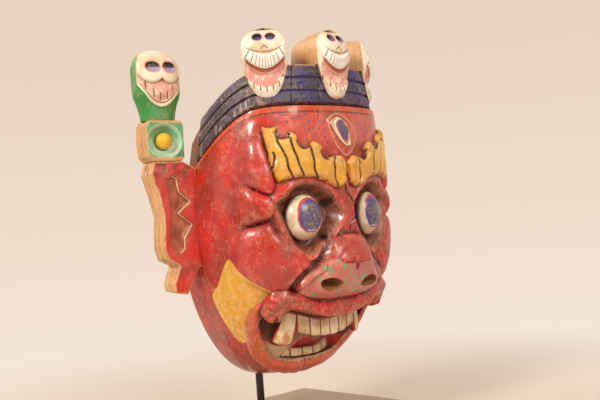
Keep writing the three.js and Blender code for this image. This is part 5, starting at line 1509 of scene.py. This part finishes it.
def tongueMesh():
    part = np.linspace(0, 1, 70)[:, None]
    turn = np.linspace(0, math.pi, 60)
    x = tongue["halfWidth"] * (1 - 0.2 * part ** 3) * np.cos(turn)
    lift = tongue["height"] * (1 + 1.1 * ease(part, 0.1, 0.9)) * np.sin(turn) ** 0.4
    lift = lift - 1.2 * np.exp(-(x / 2.2) ** 2) * ease(part, 0.1, 0.4) * ease(lift, 2, 6)
    x = x + tongue["shift"]
    depth = np.broadcast_to(tongue["back"] + tongue["length"] * part, x.shape)
    z = mouthEdge(False, x, depth) + 0.3 + np.clip(lift, 0, None)
    return ringMesh("tongue", grid(x, -depth, z))


tonguePaint = paintMaterial("tonguePaint", (214, 62, 54))
finishPiece("tongueCarving", tongueMesh(), tonguePaint, "mask", ["tongue"])

# Stand
stand = dict(
    width=240.0, depth=200.0, thickness=20.0, bevel=3.0, corner=4.0, rod=8.5, bend=16.0, setback=12.0,
    padReach=74.0, tipRise=14.0, padSize=30.0, padThickness=5.0, plateSize=26.0, plateThickness=3.0,
    collar=18.0, collarHeight=12.0, collarRise=65.0, recess=16.0, recessHeight=10.0, gap=0.3,
)
rodBore = stand["rod"] / 2 + stand["gap"]
rodPlace = maskBack + stand["setback"]


def baseMesh():
    corner, bevel, turn = stand["corner"], stand["bevel"], np.linspace(0, math.pi / 2, 9)
    w, d = stand["width"] / 2, stand["depth"] / 2
    ring = np.concatenate([
        np.stack([cx * (w - corner) + corner * np.cos(turn + k * math.pi / 2),
                  cy * (d - corner) + corner * np.sin(turn + k * math.pi / 2)], -1)
        for k, (cx, cy) in enumerate([(1, 1), (-1, 1), (-1, -1), (1, -1)])])
    rows = [(0.8, 0), (0, 0.8)] + [(0, height) for height in np.linspace(2, 16, 8)]
    rows += [(bevel * (1 - np.cos(t)), stand["thickness"] - bevel * (1 - np.sin(t)))
             for t in np.linspace(0, math.pi / 2, 10)]
    rings = [grid(ring[:, 0] * (w - inset) / w, ring[:, 1] * (d - inset) / d, height)
             for inset, height in rows]
    bore = tube(rodBore, -5, 30, (0, rodPlace))
    recess = tube(stand["recess"], -5, stand["recessHeight"], (0, rodPlace), 72)
    return carved(ringMesh("base", np.stack(rings)), [bore, recess])


def basePaint():
    newMaterial("basePaint")
    tone = mix(noise(6.0, 3.0), (176, 150, 124), (186, 160, 134))
    return finished(tone, 0.42, noise(900.0, 2.0), 0.08, 0.0002)


def steelMaterial():
    newMaterial("darkSteel", Metallic=0.85, Coat_Weight=0.6, Coat_Roughness=0.1)
    smear = noise(120.0, 4.0, stretch=(1, 1, 0.1))
    fill(building["shader"], dict(Base_Color=mix(noise(60.0, 4.0), (28, 25, 24), (44, 40, 38)),
                                  Roughness=calc("MULTIPLY_ADD", smear, 0.25, 0.16)))
    return building["material"]


def feltMaterial():
    newMaterial("greyFelt")
    fuzz = noise(1400.0, 3.0, 0.8)
    return finished(mix(fuzz, (46, 44, 42), (78, 74, 70)), 0.95, fuzz, 0.6, 0.0005)


def woodMaterial():
    newMaterial("bareWoodPegs")
    wood = useGroup(bareWood, Dirt=0.2)
    return finished(wood["Colour"], 0.6, wood["Height"], 0.3)


steel, felt, pegWood = steelMaterial(), feltMaterial(), woodMaterial()
finishPiece("displayBase", baseMesh(), basePaint(), "stand", ["base_plate"], inMask=False)

plateLow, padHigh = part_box("crown_plate")[0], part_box("crown_pad")[1]


def rodMesh():
    tipEnd = plateLow.z / mm - stand["gap"]
    tipStart = tipEnd - stand["tipRise"]
    forward = maskBack - stand["padReach"]
    bendRise = tipStart - (rodPlace - forward)
    bend = stand["bend"]
    reach = bend * math.tan(math.pi / 8)
    lean = np.linspace(0, math.pi / 4, 14)
    rows = [(rodPlace, z, 0) for z in (0.6, 1.4, 60, 120, 180, 220)]
    curve = [(bend * (1 - math.cos(t)), bend * math.sin(t), t) for t in lean]
    rows += [(rodPlace - y, bendRise - reach + z, t) for y, z, t in curve]
    rows += [(forward + y, tipStart + reach - z, t) for y, z, t in curve[::-1]]
    rows += [(forward, tipEnd - 0.8, 0), (forward, tipEnd, 0)]
    y, z, t = np.array(rows).T[:, :, None]
    radius = np.full((len(rows), 1), stand["rod"] / 2)
    radius[[0, -1]] -= 0.7
    turn = np.linspace(0, math.tau, 48, endpoint=False)
    out = radius * np.cos(turn)
    return ringMesh("rod", grid(radius * np.sin(turn), y + out * np.cos(t), z + out * np.sin(t)))


finishPiece("supportRod", rodMesh(), steel, "stand", ["support_rod"], inMask=False)


# Round piece of the stand with softened rims, solid or with a bore
def roundPiece(label, size, low, high, place, soft, look, node, bore=None):
    arc = np.linspace(0, math.pi / 2, 7)
    rows = [(size / 2 - soft * (1 - math.sin(t)), low + soft * (1 - math.cos(t))) for t in arc]
    rows += [(size / 2 - soft * (1 - math.cos(t)), high - soft * (1 - math.sin(t))) for t in arc]
    mesh = lathed(rows, place, 96)
    mesh = carved(mesh, [tube(bore, low - 3, high + 3, place)]) if bore else mesh
    finishPiece(label, mesh, look, "stand", [node], inMask=False)


crownPlace = (0, maskBack - stand["padReach"])
padTop, plateFoot, collarFoot = padHigh.z / mm, plateLow.z / mm, stand["collarRise"]
roundPiece("crownPadFelt", stand["padSize"], padTop - stand["padThickness"], padTop, crownPlace, 0.8,
           felt, "crown_pad")
roundPiece("crownPlateDisc", stand["plateSize"], plateFoot, plateFoot + stand["plateThickness"],
           crownPlace, 0.6, steel, "crown_plate")
roundPiece("chinCollarRing", stand["collar"], collarFoot, collarFoot + stand["collarHeight"],
           (0, rodPlace), 0.8, steel, "chin_collar", rodBore)

# The plain pieces of the frame get the same wood, felt and steel
pegNames = ["crown_skull_peg_" + name for name, _ in crownSkulls]
for kind in ("ear_dowel_upper_", "ear_dowel_lower_", "ear_long_peg_"):
    pegNames += [kind + name for _, name in sides]
for look, names in ((pegWood, pegNames), (felt, ["chin_pad"]), (steel, ["foot_washer", "foot_nut"])):
    for name in names:
        node = bpy.data.objects[name]
        node.data.materials.clear()
        node.data.materials.append(look)
